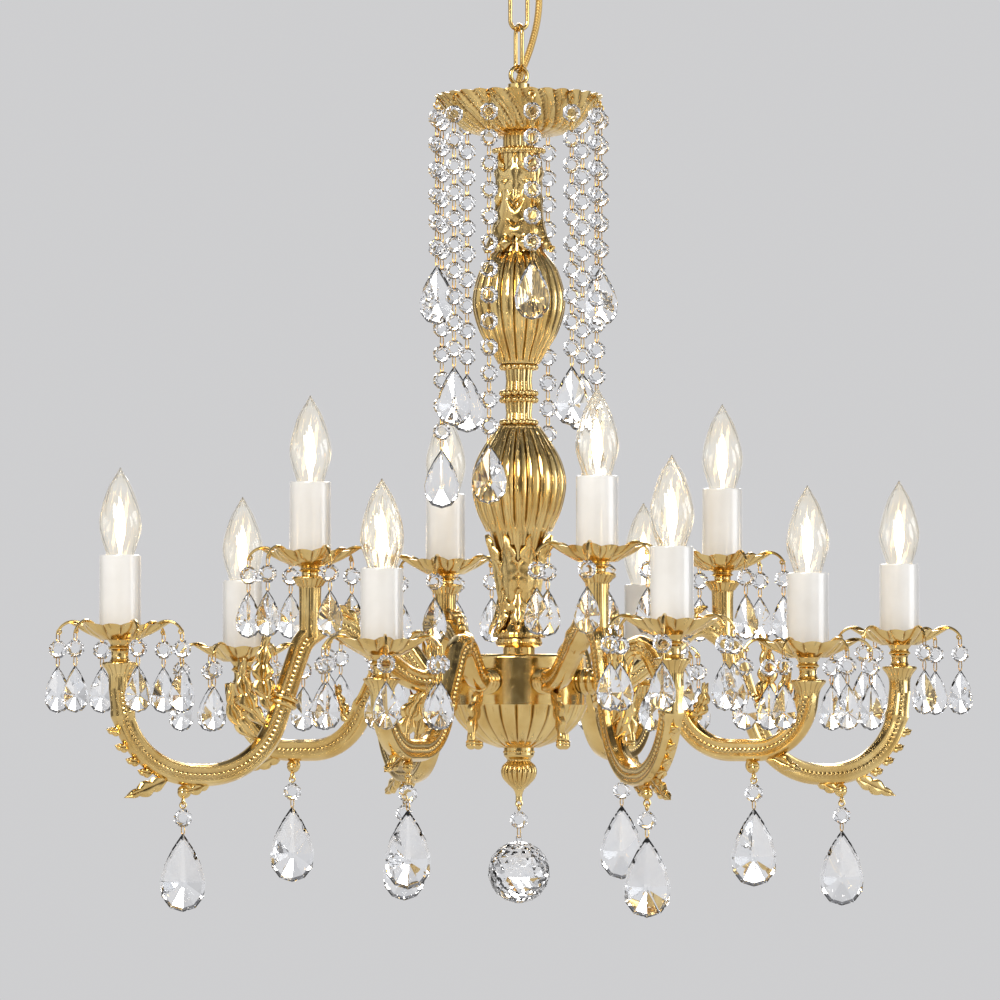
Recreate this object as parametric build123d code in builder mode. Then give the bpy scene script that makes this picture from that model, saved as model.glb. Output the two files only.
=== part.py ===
"""Multi arm crystal chandelier: four double arms, four single arms, twelve candle lights.

Millimetres, +Z up. The origin is the middle of the ceiling plate's top face, so the
whole chandelier hangs below z = 0. The double arms lie along X and Y.
"""

import os
from math import atan2, cos, dist, pi, radians, sin, tan

from build123d import *

# Fits
CLEARANCE = 0.2
LINK_GAP = 0.3
ROD_D = 12.0
BORE_D = ROD_D + 2 * CLEARANCE

# Ceiling fitting
PLATE_LENGTH = 80.0
PLATE_WIDTH = 24.0
PLATE_T = 3.0
SCREW_SPACING = 60.0
SCREW_HOLE_D = 5.0
CANOPY_R = 52.0
CANOPY_FLOOR_R = 34.0
CANOPY_HEIGHT = 38.0
CANOPY_WALL = 1.5
GROMMET_D = 12.0
GROMMET_H = 4.0
SHANK_D = 10.0
COLLAR_R = 9.0
COLLAR_H = 5.0

# Chain
EYE_WIRE_D = 3.8
HOOK_EYE_R = 8.1
HOOK_NECK = 3.0
LINK_LENGTH = 42.0
LINK_WIDTH = 18.5
LINK_WIRE_D = 3.5
SUSPENSION_EYE_R = 7.1

# Cable: the route's points as (right, away, z) seen from the front
CABLE_D = 5.6
FRONT_TURN = -20.0
CABLE_ROUTE = [
    (17.0, 16.0, -42.0),
    (17.0, 16.0, -60.0),
    (16.4, 17.6, -84.0),
    (10.0, 18.8, -110.0),
    (0.5, 17.8, -134.0),
    (-5.0, 12.5, -157.0),
    (-5.0, 12.5, -177.3),
]

# Column levels and radii, from the top bowl down
TOP_RIM_Z = -152.0
TOP_RIM_R = 69.5
TOP_FOOT_Z = -185.5
TOP_FOOT_R = 17.0
BOWL_WALL = 2.2
BOSS_R = 9.0
BOSS_FLANGE_R = 17.5
BOSS_FLANGE_H = 6.0
LEAF_COLUMN_END_Z = -281.0
LEAF_COLUMN_R = 17.5
UPPER_URN_END_Z = -372.5
UPPER_URN_R = 38.3
KNOP_END_Z = -423.0
KNOP_R = 16.4
LOWER_URN_END_Z = -510.0
LOWER_URN_R = 39.0
STEM_END_Z = -597.0
STEM_R = 16.4
BASE_END_Z = -611.0
BASE_R = 19.0
URN_FLUTES = 20
FLUTE_DEPTH = 1.6

# Hub and lower bowl
HUB_R = 55.0
HUB_END_Z = -652.0
ARM_Z = -633.0
ARM_ROOT_D = 19.0
ARM_SEAT_R = 40.0
LOWER_RIM_R = 56.6
LOWER_FOOT_Z = -687.0
LOWER_FOOT_R = 14.0
NUT_ACROSS = 24.0
NUT_H = 8.0
FINIAL_BALL_R = 14.8
FINIAL_END_Z = -730.0

# Arms, each in its own radial plane
ARM_D = 18.0
ARM_COUNT = 4
OUTER_R = 340.0
SINGLE_R = 255.0
ARM_COLLAR_R = 203.0
INNER_SETBACK = 23.0
INNER_R = ARM_COLLAR_R - INNER_SETBACK
HUMP_SETBACK = 43.0
ROOT_RUN = 37.0
SINGLE_ROOT_RUN = 25.0
SINGLE_HUMP_RUN = 55.0
SINGLE_BEND_SETBACK = 95.0
ARM_COLLAR_Z = -649.0
ARM_LEAN = 0.347
RUN_SHARE = 0.97
ARM_COLLAR_D = 25.0
ARM_COLLAR_H = 5.0
HUMP_Z = -582.0
DOUBLE_LOW_Z = -709.0
SINGLE_HUMP_Z = -594.0
SINGLE_LOW_Z = -689.0
SCROLL_T = 7.0
KNOB_R = 6.0
DOUBLE_KNOB_SETBACK = 53.0
SINGLE_KNOB_SETBACK = 47.0
CHANNEL_R = 2.8
CHANNEL_DEPTH = 1.8
ROOT_RING_D = 23.0
ROOT_RING_H = 3.0
ROOT_RINGS = 2
SINGLE_TAIL_SETBACK = 7.0

# Candle lights
OUTER_PAN_Z = -601.0
INNER_PAN_Z = -540.0
SINGLE_PAN_Z = -615.0
CUP_H = 20.0
INNER_CUP_H = 11.0
FLANGE_R = 14.5
FLANGE_T = 3.0
CUP_NECK_R = 8.0
PAN_RIM_R = 31.0
PAN_FOOT_R = 16.0
PAN_DEPTH = 12.0
PAN_WALL = 2.0
PAN_LOBES = 12
PRONGS = 6
PRONG_REACH = 51.0
PRONG_D = 2.4
PRONG_TIP_DROP = 5.0
PRONG_PHASE = 30.0
SLEEVE_D = 33.5
SLEEVE_WALL = 1.6
SLEEVE_HEIGHT = 66.0
HOLDER_D = 24.0
HOLDER_STEM_D = 10.0
HOLDER_STEM_LENGTH = 9.0
CAP_D = 14.0
CAP_LENGTH = 22.0
CAP_RECESS = 9.0
GLASS_D = 35.0
GLASS_LENGTH = 79.0
GLASS_NECK_D = 18.0

# Crystal
BEAD_D = 14.0
BEAD_T = 8.0
BEAD_TAPER = 45.0
BEAD_PITCH = 21.3
PIN_WIDTH = 1.2
PIN_T = 0.8
PIN_GAP = 0.2
SEAT_GAP = 0.2
EYE_RING_R = 2.5
EYE_RING_WIRE_R = 0.8
HANG_RING_WIRE_R = 0.7
STRAND_COUNT = 12
STRAND_PHASE = -11.0
STRAND_R = 68.0
STRAND_EYE_Z = -157.4
STRAND_BEADS = [6, 10, 13]
STRAND_DROP = (49.0, 29.0, 15.0)
PAN_DROP = (38.0, 21.0, 11.0)
ARM_DROP = (63.0, 37.0, 19.0)
PAN_BEAD_GAP = 7.0
PAN_DROP_GAP = 6.0
ARM_DROP_GAP = 5.0
BALL_D = 51.0
BALL_STUB = 4.0
BALL_NECK_R = 2.5
PEAR_SIDES = 10

os.makedirs("parts", exist_ok=True)


def save(shape, name):
    """Label a finished piece and write its file."""
    shape.label = name
    export_step(shape, f"parts/{name}.step")


def group(solids, name):
    """Write separate solids as one piece."""
    save(Compound(children=solids), name)


def turned(shape, angle):
    """A copy of a shape turned about the column's axis."""
    return shape.moved(Location((0, 0, 0), (0, 0, angle)))


def from_front(right, away, z):
    """A point given as seen from the front, in the part's own frame."""
    turn = radians(FRONT_TURN)
    return (right * cos(turn) - away * sin(turn), right * sin(turn) + away * cos(turn), z)


def lobed_loft(sections, lobes, depth):
    """A gadrooned body: each section is a ring of equal round lobes."""
    with BuildPart() as body:
        for z, radius in sections:
            valley = radius - depth
            with BuildSketch(Plane.XY.offset(z)):
                with BuildLine():
                    for i in range(lobes):
                        start = 360 * i / lobes
                        middle = 360 * (i + 0.5) / lobes
                        end = 360 * (i + 1) / lobes
                        ThreePointArc(
                            (valley * cos(radians(start)), valley * sin(radians(start))),
                            (radius * cos(radians(middle)), radius * sin(radians(middle))),
                            (valley * cos(radians(end)), valley * sin(radians(end))),
                        )
                make_face()
        loft()
    return body.part


def revolved(points):
    """A turned body from a closed outline of (radius, z) corners."""
    with BuildPart() as body:
        with BuildSketch(Plane.XZ):
            with BuildLine():
                Polyline(*points, close=True)
            make_face()
        revolve(axis=Axis.Z)
    return body.part


def ring(radius, wire_radius, plane):
    """A closed wire ring lying in a plane."""
    with BuildPart() as body:
        with BuildSketch(Plane(plane.origin + plane.x_dir * radius, plane.x_dir, plane.y_dir)):
            Circle(wire_radius)
        revolve(axis=Axis(plane.origin, plane.z_dir))
    return body.part


def rod_bore(z_top, z_end):
    """The space that the centre rod needs between two levels."""
    with BuildPart() as bore:
        with BuildSketch(Plane.XY.offset(z_end)):
            Circle(BORE_D / 2)
        extrude(amount=z_top - z_end)
    return bore.part


# Ceiling plate
with BuildPart() as ceiling_plate:
    with BuildSketch(Plane.XY.offset(-PLATE_T)):
        SlotOverall(PLATE_LENGTH, PLATE_WIDTH)
        with GridLocations(SCREW_SPACING, 0, 2, 1):
            Circle(SCREW_HOLE_D / 2, mode=Mode.SUBTRACT)
        Circle(SHANK_D / 2 + CLEARANCE, mode=Mode.SUBTRACT)
    extrude(amount=PLATE_T)
save(ceiling_plate.part, "ceiling_plate")

# Ceiling canopy: a thin bell that covers the plate, with the cable's grommet
grommet_x, grommet_y, grommet_z = from_front(*CABLE_ROUTE[0])
with BuildPart() as ceiling_canopy:
    with BuildSketch(Plane.XZ):
        with BuildLine():
            outer = Spline(
                (CANOPY_R, 0),
                (CANOPY_R - 4, -CANOPY_HEIGHT * 0.55),
                (CANOPY_FLOOR_R, -CANOPY_HEIGHT),
                tangents=((0, -1), (-1, 0)),
            )
            Polyline(outer @ 1, (0, -CANOPY_HEIGHT), (0, -CANOPY_HEIGHT + CANOPY_WALL))
            Line((0, -CANOPY_HEIGHT + CANOPY_WALL), (CANOPY_FLOOR_R, -CANOPY_HEIGHT + CANOPY_WALL))
            inner = Spline(
                (CANOPY_FLOOR_R, -CANOPY_HEIGHT + CANOPY_WALL),
                (CANOPY_R - 4 - CANOPY_WALL, -CANOPY_HEIGHT * 0.55),
                (CANOPY_R - CANOPY_WALL, 0),
                tangents=((1, 0), (0, 1)),
            )
            Line(inner @ 1, outer @ 0)
        make_face()
    revolve(axis=Axis.Z)
    with BuildSketch(Plane((grommet_x, grommet_y, -CANOPY_HEIGHT))):
        Circle(GROMMET_D / 2)
    extrude(amount=-GROMMET_H)
    with BuildSketch(Plane.XY.offset(-CANOPY_HEIGHT)):
        Circle(SHANK_D / 2 + CLEARANCE)
    extrude(amount=CANOPY_WALL, mode=Mode.SUBTRACT)
save(ceiling_canopy.part, "ceiling_canopy")

# Ceiling hook: shank, collar under the canopy, and a closed eye in the YZ plane
HOOK_EYE_TOP_Z = -CANOPY_HEIGHT - COLLAR_H - HOOK_NECK
HOOK_EYE_Z = HOOK_EYE_TOP_Z - HOOK_EYE_R
with BuildPart() as ceiling_hook:
    with BuildSketch(Plane.XY.offset(-CANOPY_HEIGHT)):
        Circle(SHANK_D / 2)
    extrude(amount=CANOPY_HEIGHT)
    with BuildSketch(Plane.XY.offset(-CANOPY_HEIGHT)):
        Circle(COLLAR_R)
    extrude(amount=-COLLAR_H)
    with BuildSketch(Plane.XY.offset(-CANOPY_HEIGHT - COLLAR_H)):
        Circle(SHANK_D / 3)
    extrude(amount=-HOOK_NECK - EYE_WIRE_D / 2)
    add(ring(HOOK_EYE_R, EYE_WIRE_D / 2, Plane((0, 0, HOOK_EYE_Z), (0, 1, 0), (1, 0, 0))))
save(ceiling_hook.part, "ceiling_hook")


def chain_link(centre_z, broad):
    """A round-ended wire link whose broad side lies along a direction."""
    half_width = (LINK_WIDTH - LINK_WIRE_D) / 2
    half_run = (LINK_LENGTH - LINK_WIDTH) / 2
    face = Plane((0, 0, centre_z), broad, Vector(broad).cross(Vector(0, 0, 1)))
    with BuildPart() as link:
        with BuildLine(face):
            right = Line((half_width, -half_run), (half_width, half_run))
            ThreePointArc(right @ 1, (0, half_run + half_width), (-half_width, half_run))
            Line((-half_width, half_run), (-half_width, -half_run))
            ThreePointArc((-half_width, -half_run), (0, -half_run - half_width), right @ 0)
        with BuildSketch(Plane(right @ 0.5, z_dir=right % 0.5)):
            Circle(LINK_WIRE_D / 2)
        sweep()
    return link.part


# Chain: each bend rests on the wire of the one above it
LINK_REACH = (LINK_LENGTH - LINK_WIRE_D) / 2
HOOK_PIVOT_Z = HOOK_EYE_Z - HOOK_EYE_R
EYE_STEP = (EYE_WIRE_D + LINK_WIRE_D) / 2 + LINK_GAP
UPPER_LINK_Z = HOOK_PIVOT_Z + EYE_STEP - LINK_REACH
LINK_PIVOT_Z = UPPER_LINK_Z - LINK_REACH
LOWER_LINK_Z = LINK_PIVOT_Z + LINK_WIRE_D + LINK_GAP - LINK_REACH
EYE_PIVOT_Z = LOWER_LINK_Z - LINK_REACH
SUSPENSION_EYE_Z = EYE_PIVOT_Z + EYE_STEP - SUSPENSION_EYE_R
save(chain_link(UPPER_LINK_Z, (1, 0, 0)), "upper_chain_link")
save(chain_link(LOWER_LINK_Z, (0, 1, 0)), "lower_chain_link")

# Suspension eye: ring, boss and the flange that clamps the top bowl
FLANGE_BOTTOM_Z = TOP_FOOT_Z + BOWL_WALL
BOSS_TOP_Z = SUSPENSION_EYE_Z - SUSPENSION_EYE_R
ROD_TOP_Z = BOSS_TOP_Z - 8.0
with BuildPart() as suspension_eye:
    with BuildSketch(Plane.XY.offset(FLANGE_BOTTOM_Z)):
        Circle(BOSS_FLANGE_R)
    extrude(amount=BOSS_FLANGE_H)
    with BuildSketch(Plane.XY.offset(FLANGE_BOTTOM_Z)):
        Circle(BOSS_R)
    extrude(amount=BOSS_TOP_Z - FLANGE_BOTTOM_Z)
    add(rod_bore(ROD_TOP_Z, FLANGE_BOTTOM_Z), mode=Mode.SUBTRACT)
    add(
        ring(
            SUSPENSION_EYE_R,
            EYE_WIRE_D / 2,
            Plane((0, 0, SUSPENSION_EYE_Z), (1, 0, 0), (0, -1, 0)),
        )
    )
save(suspension_eye.part, "suspension_eye")

# Power cable: straight runs joined by the largest arcs that they allow
cable_points = [Vector(*from_front(*point)) for point in CABLE_ROUTE]
cable_radii = []
for before, corner, after in zip(cable_points, cable_points[1:], cable_points[2:]):
    shorter = min((corner - before).length, (after - corner).length)
    turn = radians((corner - before).get_angle(after - corner))
    cable_radii.append(0.45 * shorter / tan(turn / 2))
print("cable radii", [round(radius, 1) for radius in cable_radii])
with BuildPart() as power_cable:
    with BuildLine() as cable_line:
        FilletPolyline(*cable_points, radius=cable_radii)
    cable_path = cable_line.wires()[0]
    with BuildSketch(Plane(cable_path @ 0, z_dir=cable_path % 0)):
        Circle(CABLE_D / 2)
    sweep(path=cable_path)
cable_section = pi * CABLE_D**2 / 4
print("cable length", cable_path.length, power_cable.part.volume / cable_section / cable_path.length)
save(power_cable.part, "power_cable")


def eye_loop(x, y, z, across):
    """A small wire eye whose ring lies upright along a direction."""
    face = Plane((x, y, z), across, Vector(across).cross(Vector(0, 0, 1)))
    return ring(EYE_RING_R, EYE_RING_WIRE_R, face)


# Top bowl: gadrooned dish with twelve eyes under its rim
with BuildPart() as top_bowl:
    add(
        lobed_loft(
            [
                (TOP_FOOT_Z, TOP_FOOT_R + 4),
                (TOP_FOOT_Z + 5, TOP_FOOT_R + 26),
                (TOP_FOOT_Z + 18, TOP_RIM_R - 12),
                (TOP_RIM_Z, TOP_RIM_R),
            ],
            2 * STRAND_COUNT,
            FLUTE_DEPTH,
        )
    )
    add(
        revolved(
            [
                (0, FLANGE_BOTTOM_Z),
                (TOP_FOOT_R + 3, FLANGE_BOTTOM_Z),
                (TOP_FOOT_R + 22, TOP_FOOT_Z + 5 + BOWL_WALL),
                (TOP_RIM_R - 17, TOP_FOOT_Z + 18 + BOWL_WALL),
                (TOP_RIM_R - 4.5, TOP_RIM_Z + 1),
                (0, TOP_RIM_Z + 1),
            ]
        ),
        mode=Mode.SUBTRACT,
    )
    add(rod_bore(FLANGE_BOTTOM_Z, TOP_FOOT_Z), mode=Mode.SUBTRACT)
    for i in range(STRAND_COUNT):
        angle = radians(STRAND_PHASE + 360 * i / STRAND_COUNT)
        add(
            eye_loop(
                STRAND_R * cos(angle),
                STRAND_R * sin(angle),
                STRAND_EYE_Z,
                (-sin(angle), cos(angle), 0),
            )
        )
save(top_bowl.part, "top_bowl")


def leaf_blades(count, root_r, root_z, tip_r, tip_z, width, thickness):
    """A ring of pointed leaves that lean out from a stem."""
    blade = Vector(tip_r - root_r, 0, tip_z - root_z)
    face = Plane((root_r, 0, root_z), (0, 1, 0), blade.cross(Vector(0, 1, 0)))
    with BuildPart() as leaves:
        with BuildSketch(face) as outline:
            with BuildLine():
                side = face.to_local_coords(Vector(tip_r, 0, tip_z)).Y
                ThreePointArc((0, 0), (width / 2, side * 0.45), (0, side))
                ThreePointArc((0, side), (-width / 2, side * 0.45), (0, 0))
            make_face()
        extrude(amount=thickness / 2, both=True)
    return [turned(leaves.part, 360 * i / count) for i in range(count)]


# Leaf column: collar ring over a slender drum clad in leaves
COLLAR_Z = -199.5
with BuildPart() as leaf_column:
    add(
        revolved(
            [
                (BORE_D / 2, TOP_FOOT_Z),
                (TOP_FOOT_R - 4, TOP_FOOT_Z),
                (TOP_FOOT_R - 4, TOP_FOOT_Z - 8),
                (21.3, TOP_FOOT_Z - 9.5),
                (21.3, COLLAR_Z),
                (LEAF_COLUMN_R, COLLAR_Z),
                (LEAF_COLUMN_R - 1, COLLAR_Z - 30),
                (LEAF_COLUMN_R + 2, LEAF_COLUMN_END_Z + 12),
                (LEAF_COLUMN_R + 3, LEAF_COLUMN_END_Z),
                (BORE_D / 2, LEAF_COLUMN_END_Z),
            ]
        )
    )
    for blade in leaf_blades(8, LEAF_COLUMN_R - 0.5, COLLAR_Z - 6, 22, LEAF_COLUMN_END_Z + 34, 13, 2.6):
        add(blade)
    for blade in leaf_blades(8, LEAF_COLUMN_R, COLLAR_Z - 38, 30, LEAF_COLUMN_END_Z + 4, 16, 2.6):
        add(blade)
save(leaf_column.part, "leaf_column")

# Upper urn
with BuildPart() as upper_urn:
    add(
        lobed_loft(
            [
                (LEAF_COLUMN_END_Z, 22),
                (LEAF_COLUMN_END_Z - 15, 32.5),
                (LEAF_COLUMN_END_Z - 40, UPPER_URN_R),
                (UPPER_URN_END_Z + 28, 33),
                (UPPER_URN_END_Z + 10, 22.5),
                (UPPER_URN_END_Z, 17),
            ],
            URN_FLUTES,
            FLUTE_DEPTH,
        )
    )
    add(rod_bore(LEAF_COLUMN_END_Z, UPPER_URN_END_Z), mode=Mode.SUBTRACT)
save(upper_urn.part, "upper_urn")

# Middle knop: three bead rings on a fluted neck
with BuildPart() as middle_knop:
    with BuildSketch(Plane.XY.offset(KNOP_END_Z)):
        Circle(KNOP_R - 4.5)
    extrude(amount=UPPER_URN_END_Z - KNOP_END_Z)
    for level in (UPPER_URN_END_Z - 2.5, UPPER_URN_END_Z - 24, UPPER_URN_END_Z - 29.5, KNOP_END_Z + 2.5):
        add(ring(KNOP_R - 2.5, 2.5, Plane.XY.offset(level)))
    add(rod_bore(UPPER_URN_END_Z, KNOP_END_Z), mode=Mode.SUBTRACT)
save(middle_knop.part, "middle_knop")

# Lower urn
with BuildPart() as lower_urn:
    add(
        lobed_loft(
            [
                (KNOP_END_Z, 17),
                (KNOP_END_Z - 14, 27),
                (KNOP_END_Z - 30, 35.5),
                (KNOP_END_Z - 48, LOWER_URN_R),
                (LOWER_URN_END_Z + 18, 35),
                (LOWER_URN_END_Z, 27),
            ],
            URN_FLUTES,
            FLUTE_DEPTH,
        )
    )
    add(rod_bore(KNOP_END_Z, LOWER_URN_END_Z), mode=Mode.SUBTRACT)
save(lower_urn.part, "lower_urn")

# Leaf stem: the acanthus-clad foot of the lower urn
with BuildPart() as leaf_stem:
    add(
        revolved(
            [
                (BORE_D / 2, LOWER_URN_END_Z),
                (24, LOWER_URN_END_Z),
                (STEM_R + 3, LOWER_URN_END_Z - 20),
                (STEM_R - 1, LOWER_URN_END_Z - 45),
                (STEM_R, LOWER_URN_END_Z - 70),
                (22, STEM_END_Z + 4),
                (22, STEM_END_Z),
                (BORE_D / 2, STEM_END_Z),
            ]
        )
    )
    for blade in leaf_blades(8, STEM_R, LOWER_URN_END_Z - 62, 29, LOWER_URN_END_Z - 2, 15, 2.6):
        add(blade)
    for blade in leaf_blades(8, STEM_R - 2, LOWER_URN_END_Z - 40, 25, STEM_END_Z + 3, 12, 2.6):
        add(blade)
save(leaf_stem.part, "leaf_stem")

# Base ring over the hub
save(
    revolved(
        [
            (BORE_D / 2, STEM_END_Z),
            (BASE_R - 2, STEM_END_Z),
            (BASE_R, STEM_END_Z - 2),
            (BASE_R, STEM_END_Z - 7),
            (BASE_R - 6, STEM_END_Z - 8),
            (BASE_R - 6, BASE_END_Z),
            (BORE_D / 2, BASE_END_Z),
        ]
    ),
    "base_ring",
)

# Hub drum with a radial socket for each arm
ARM_ANGLES = [360 * i / (2 * ARM_COUNT) for i in range(2 * ARM_COUNT)]
with BuildPart() as hub_drum:
    with BuildSketch(Plane.XY.offset(HUB_END_Z)):
        Circle(HUB_R)
        Circle(BORE_D / 2, mode=Mode.SUBTRACT)
    extrude(amount=BASE_END_Z - HUB_END_Z)
    fillet(hub_drum.edges().group_by(Axis.Z)[-1].sort_by(SortBy.LENGTH)[-1], 3)
    for angle in ARM_ANGLES:
        outward = (cos(radians(angle)), sin(radians(angle)), 0)
        with BuildSketch(Plane((0, 0, ARM_Z), z_dir=outward).offset(ARM_SEAT_R)):
            Circle(ARM_ROOT_D / 2 + CLEARANCE)
        extrude(amount=HUB_R, mode=Mode.SUBTRACT)
save(hub_drum.part, "hub_drum")

# Nut that clamps the hub on the rod, inside the lower bowl
ROD_END_Z = LOWER_FOOT_Z - 8.0
with BuildPart() as hub_nut:
    with BuildSketch(Plane.XY.offset(HUB_END_Z - NUT_H)):
        RegularPolygon(NUT_ACROSS / 2, 6, major_radius=False)
        Circle(BORE_D / 2, mode=Mode.SUBTRACT)
    extrude(amount=NUT_H)
save(hub_nut.part, "hub_nut")

# Centre rod that holds the column together
with BuildPart() as centre_rod:
    with BuildSketch(Plane.XY.offset(ROD_END_Z)):
        Circle(ROD_D / 2)
    extrude(amount=ROD_TOP_Z - ROD_END_Z)
save(centre_rod.part, "centre_rod")

# Lower bowl
with BuildPart() as lower_bowl:
    add(
        lobed_loft(
            [
                (HUB_END_Z, LOWER_RIM_R),
                (HUB_END_Z - 14, LOWER_RIM_R - 7),
                (LOWER_FOOT_Z + 7, LOWER_FOOT_R + 20),
                (LOWER_FOOT_Z, LOWER_FOOT_R + 3),
            ],
            24,
            FLUTE_DEPTH,
        )
    )
    add(
        revolved(
            [
                (0, HUB_END_Z),
                (LOWER_RIM_R - 4, HUB_END_Z),
                (LOWER_RIM_R - 11, HUB_END_Z - 13),
                (LOWER_FOOT_R + 15, LOWER_FOOT_Z + 9),
                (LOWER_FOOT_R + 1, LOWER_FOOT_Z + BOWL_WALL),
                (0, LOWER_FOOT_Z + BOWL_WALL),
            ]
        ),
        mode=Mode.SUBTRACT,
    )
    add(rod_bore(LOWER_FOOT_Z + BOWL_WALL, LOWER_FOOT_Z), mode=Mode.SUBTRACT)
save(lower_bowl.part, "lower_bowl")

# Finial with the eye that carries the crystal ball
with BuildPart() as finial:
    with BuildSketch(Plane.XZ):
        with BuildLine():
            Polyline((0, LOWER_FOOT_Z), (12.5, LOWER_FOOT_Z), (12.5, LOWER_FOOT_Z - 7))
            Spline(
                (12.5, LOWER_FOOT_Z - 7),
                (9.8, LOWER_FOOT_Z - 11),
                (FINIAL_BALL_R, LOWER_FOOT_Z - 19),
                (8.5, LOWER_FOOT_Z - 30),
                (2.8, FINIAL_END_Z + 5),
                (2.8, FINIAL_END_Z),
            )
            Polyline((2.8, FINIAL_END_Z), (0, FINIAL_END_Z), (0, LOWER_FOOT_Z))
        make_face()
    revolve(axis=Axis.Z)
    add(rod_bore(LOWER_FOOT_Z, ROD_END_Z), mode=Mode.SUBTRACT)
    add(eye_loop(0, 0, FINIAL_END_Z - EYE_RING_R, (1, 0, 0)))
save(finial.part, "finial")


def fitted_bends(points, radii):
    """The bend radii, made smaller where a run is too short for the bends at its two ends."""
    headings = [atan2(b[1] - a[1], b[0] - a[0]) for a, b in zip(points, points[1:])]
    turns = [abs((b - a + pi) % (2 * pi) - pi) for a, b in zip(headings, headings[1:])]
    bends = [0, *radii, 0]
    shares = [0, *[tan(turn / 2) for turn in turns], 0]
    for i, (a, b) in enumerate(zip(points, points[1:])):
        need = bends[i] * shares[i] + bends[i + 1] * shares[i + 1]
        room = RUN_SHARE * dist(a, b)
        if need > room:
            bends[i] *= room / need
            bends[i + 1] *= room / need
    return bends[1:-1]


def arm_tube(points, radii):
    """A round arm with a channel down each side, along straight runs and arcs in the XZ plane."""
    with BuildPart() as tube:
        with BuildLine(Plane.XZ) as line:
            FilletPolyline(*points, radius=fitted_bends(points, radii))
        path = line.wires()[0]
        with BuildSketch(Plane(path @ 0, x_dir=(0, 1, 0), z_dir=path % 0)):
            Circle(ARM_D / 2)
            channel_out = ARM_D / 2 + CHANNEL_R - CHANNEL_DEPTH
            with Locations((channel_out, 0), (-channel_out, 0)):
                Circle(CHANNEL_R, mode=Mode.SUBTRACT)
        sweep(path=path)
    return tube.part


def candle_cup(radius, pan_z, height, start_z):
    """The stem, flange and neck that carry a drip pan."""
    flange_z = pan_z - height
    with BuildPart() as cup:
        add(
            revolved(
                [
                    (0, start_z),
                    (ARM_D / 2, start_z),
                    (ARM_D / 2, flange_z - 10),
                    (ARM_D / 2 + 1.5, flange_z - 5),
                    (FLANGE_R, flange_z),
                    (FLANGE_R, flange_z + FLANGE_T),
                    (CUP_NECK_R, flange_z + FLANGE_T + 1),
                    (CUP_NECK_R, pan_z - 2),
                    (CUP_NECK_R + 2, pan_z),
                    (0, pan_z),
                ]
            )
        )
        with BuildSketch(Plane.XY.offset(pan_z)):
            Circle(HOLDER_STEM_D / 2 + CLEARANCE)
        extrude(amount=-HOLDER_STEM_LENGTH, mode=Mode.SUBTRACT)
    return cup.part.moved(Location((radius, 0, 0)))


def blade_plate(outline, origin):
    """A flat cast leaf in the arm's plane: a closed line of arcs, measured from an origin (r, z)."""
    with BuildPart() as blade:
        with BuildSketch(Plane((origin[0], 0, origin[1]), (1, 0, 0), (0, -1, 0))):
            with BuildLine():
                for start, middle, end in outline:
                    ThreePointArc(start, middle, end)
            make_face()
        extrude(amount=SCROLL_T / 2, both=True)
    return blade.part


def arm_root():
    """The round tenon that seats in the hub, with the rings that stand outside it."""
    seat = Plane((ARM_SEAT_R, 0, ARM_Z), z_dir=(1, 0, 0))
    with BuildPart() as root:
        with BuildSketch(seat):
            Circle(ARM_ROOT_D / 2)
        extrude(amount=HUB_R - ARM_SEAT_R + 22)
        for i in range(ROOT_RINGS):
            with BuildSketch(seat.offset(HUB_R - ARM_SEAT_R + (2 * i + 1) * ROOT_RING_H)):
                Circle(ROOT_RING_D / 2)
            extrude(amount=ROOT_RING_H)
    return root.part


def knob(radius, z):
    """The scroll knob under an arm and the eye that carries its drop."""
    with BuildPart() as body:
        with Locations((radius, 0, z)):
            Sphere(KNOB_R)
        add(eye_loop(radius, 0, z - KNOB_R - EYE_RING_R + 0.6, (0, 1, 0)))
    return body.part


def collar(start, heading, rings):
    """Ring mouldings round an arm where two castings meet."""
    with BuildPart() as body:
        with BuildSketch(Plane(start, z_dir=heading)):
            Circle(ARM_COLLAR_D / 2)
        extrude(amount=rings * ARM_COLLAR_H)
    return body.part


# The arms' lines, all in the XZ plane
COLLAR_HEADING = Vector(ARM_LEAN, 0, -1).normalized()
INNER_LINE = [
    (HUB_R + 10, ARM_Z),
    (HUB_R + ROOT_RUN, ARM_Z),
    (ARM_COLLAR_R - HUMP_SETBACK, HUMP_Z),
    (ARM_COLLAR_R + ARM_LEAN * (ARM_COLLAR_Z - HUMP_Z + 18), HUMP_Z - 18),
    (ARM_COLLAR_R, ARM_COLLAR_Z),
]
OUTER_LINE = [
    (ARM_COLLAR_R, ARM_COLLAR_Z),
    (ARM_COLLAR_R + ARM_LEAN * (ARM_COLLAR_Z - DOUBLE_LOW_Z), DOUBLE_LOW_Z),
    (OUTER_R - 8, DOUBLE_LOW_Z),
    (OUTER_R, OUTER_PAN_Z - CUP_H - 18),
]
SINGLE_LINE = [
    (HUB_R + 10, ARM_Z),
    (HUB_R + SINGLE_ROOT_RUN, ARM_Z),
    (HUB_R + SINGLE_HUMP_RUN, SINGLE_HUMP_Z),
    (SINGLE_R - SINGLE_BEND_SETBACK, SINGLE_LOW_Z),
    (SINGLE_R - 5, SINGLE_LOW_Z),
    (SINGLE_R, SINGLE_PAN_Z - CUP_H - 8),
]
DOUBLE_KNOB = (OUTER_R - DOUBLE_KNOB_SETBACK, DOUBLE_LOW_Z - ARM_D / 2 - KNOB_R + 2)
SINGLE_KNOB = (SINGLE_R - SINGLE_KNOB_SETBACK, SINGLE_LOW_Z - ARM_D / 2 - KNOB_R + 2)

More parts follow.
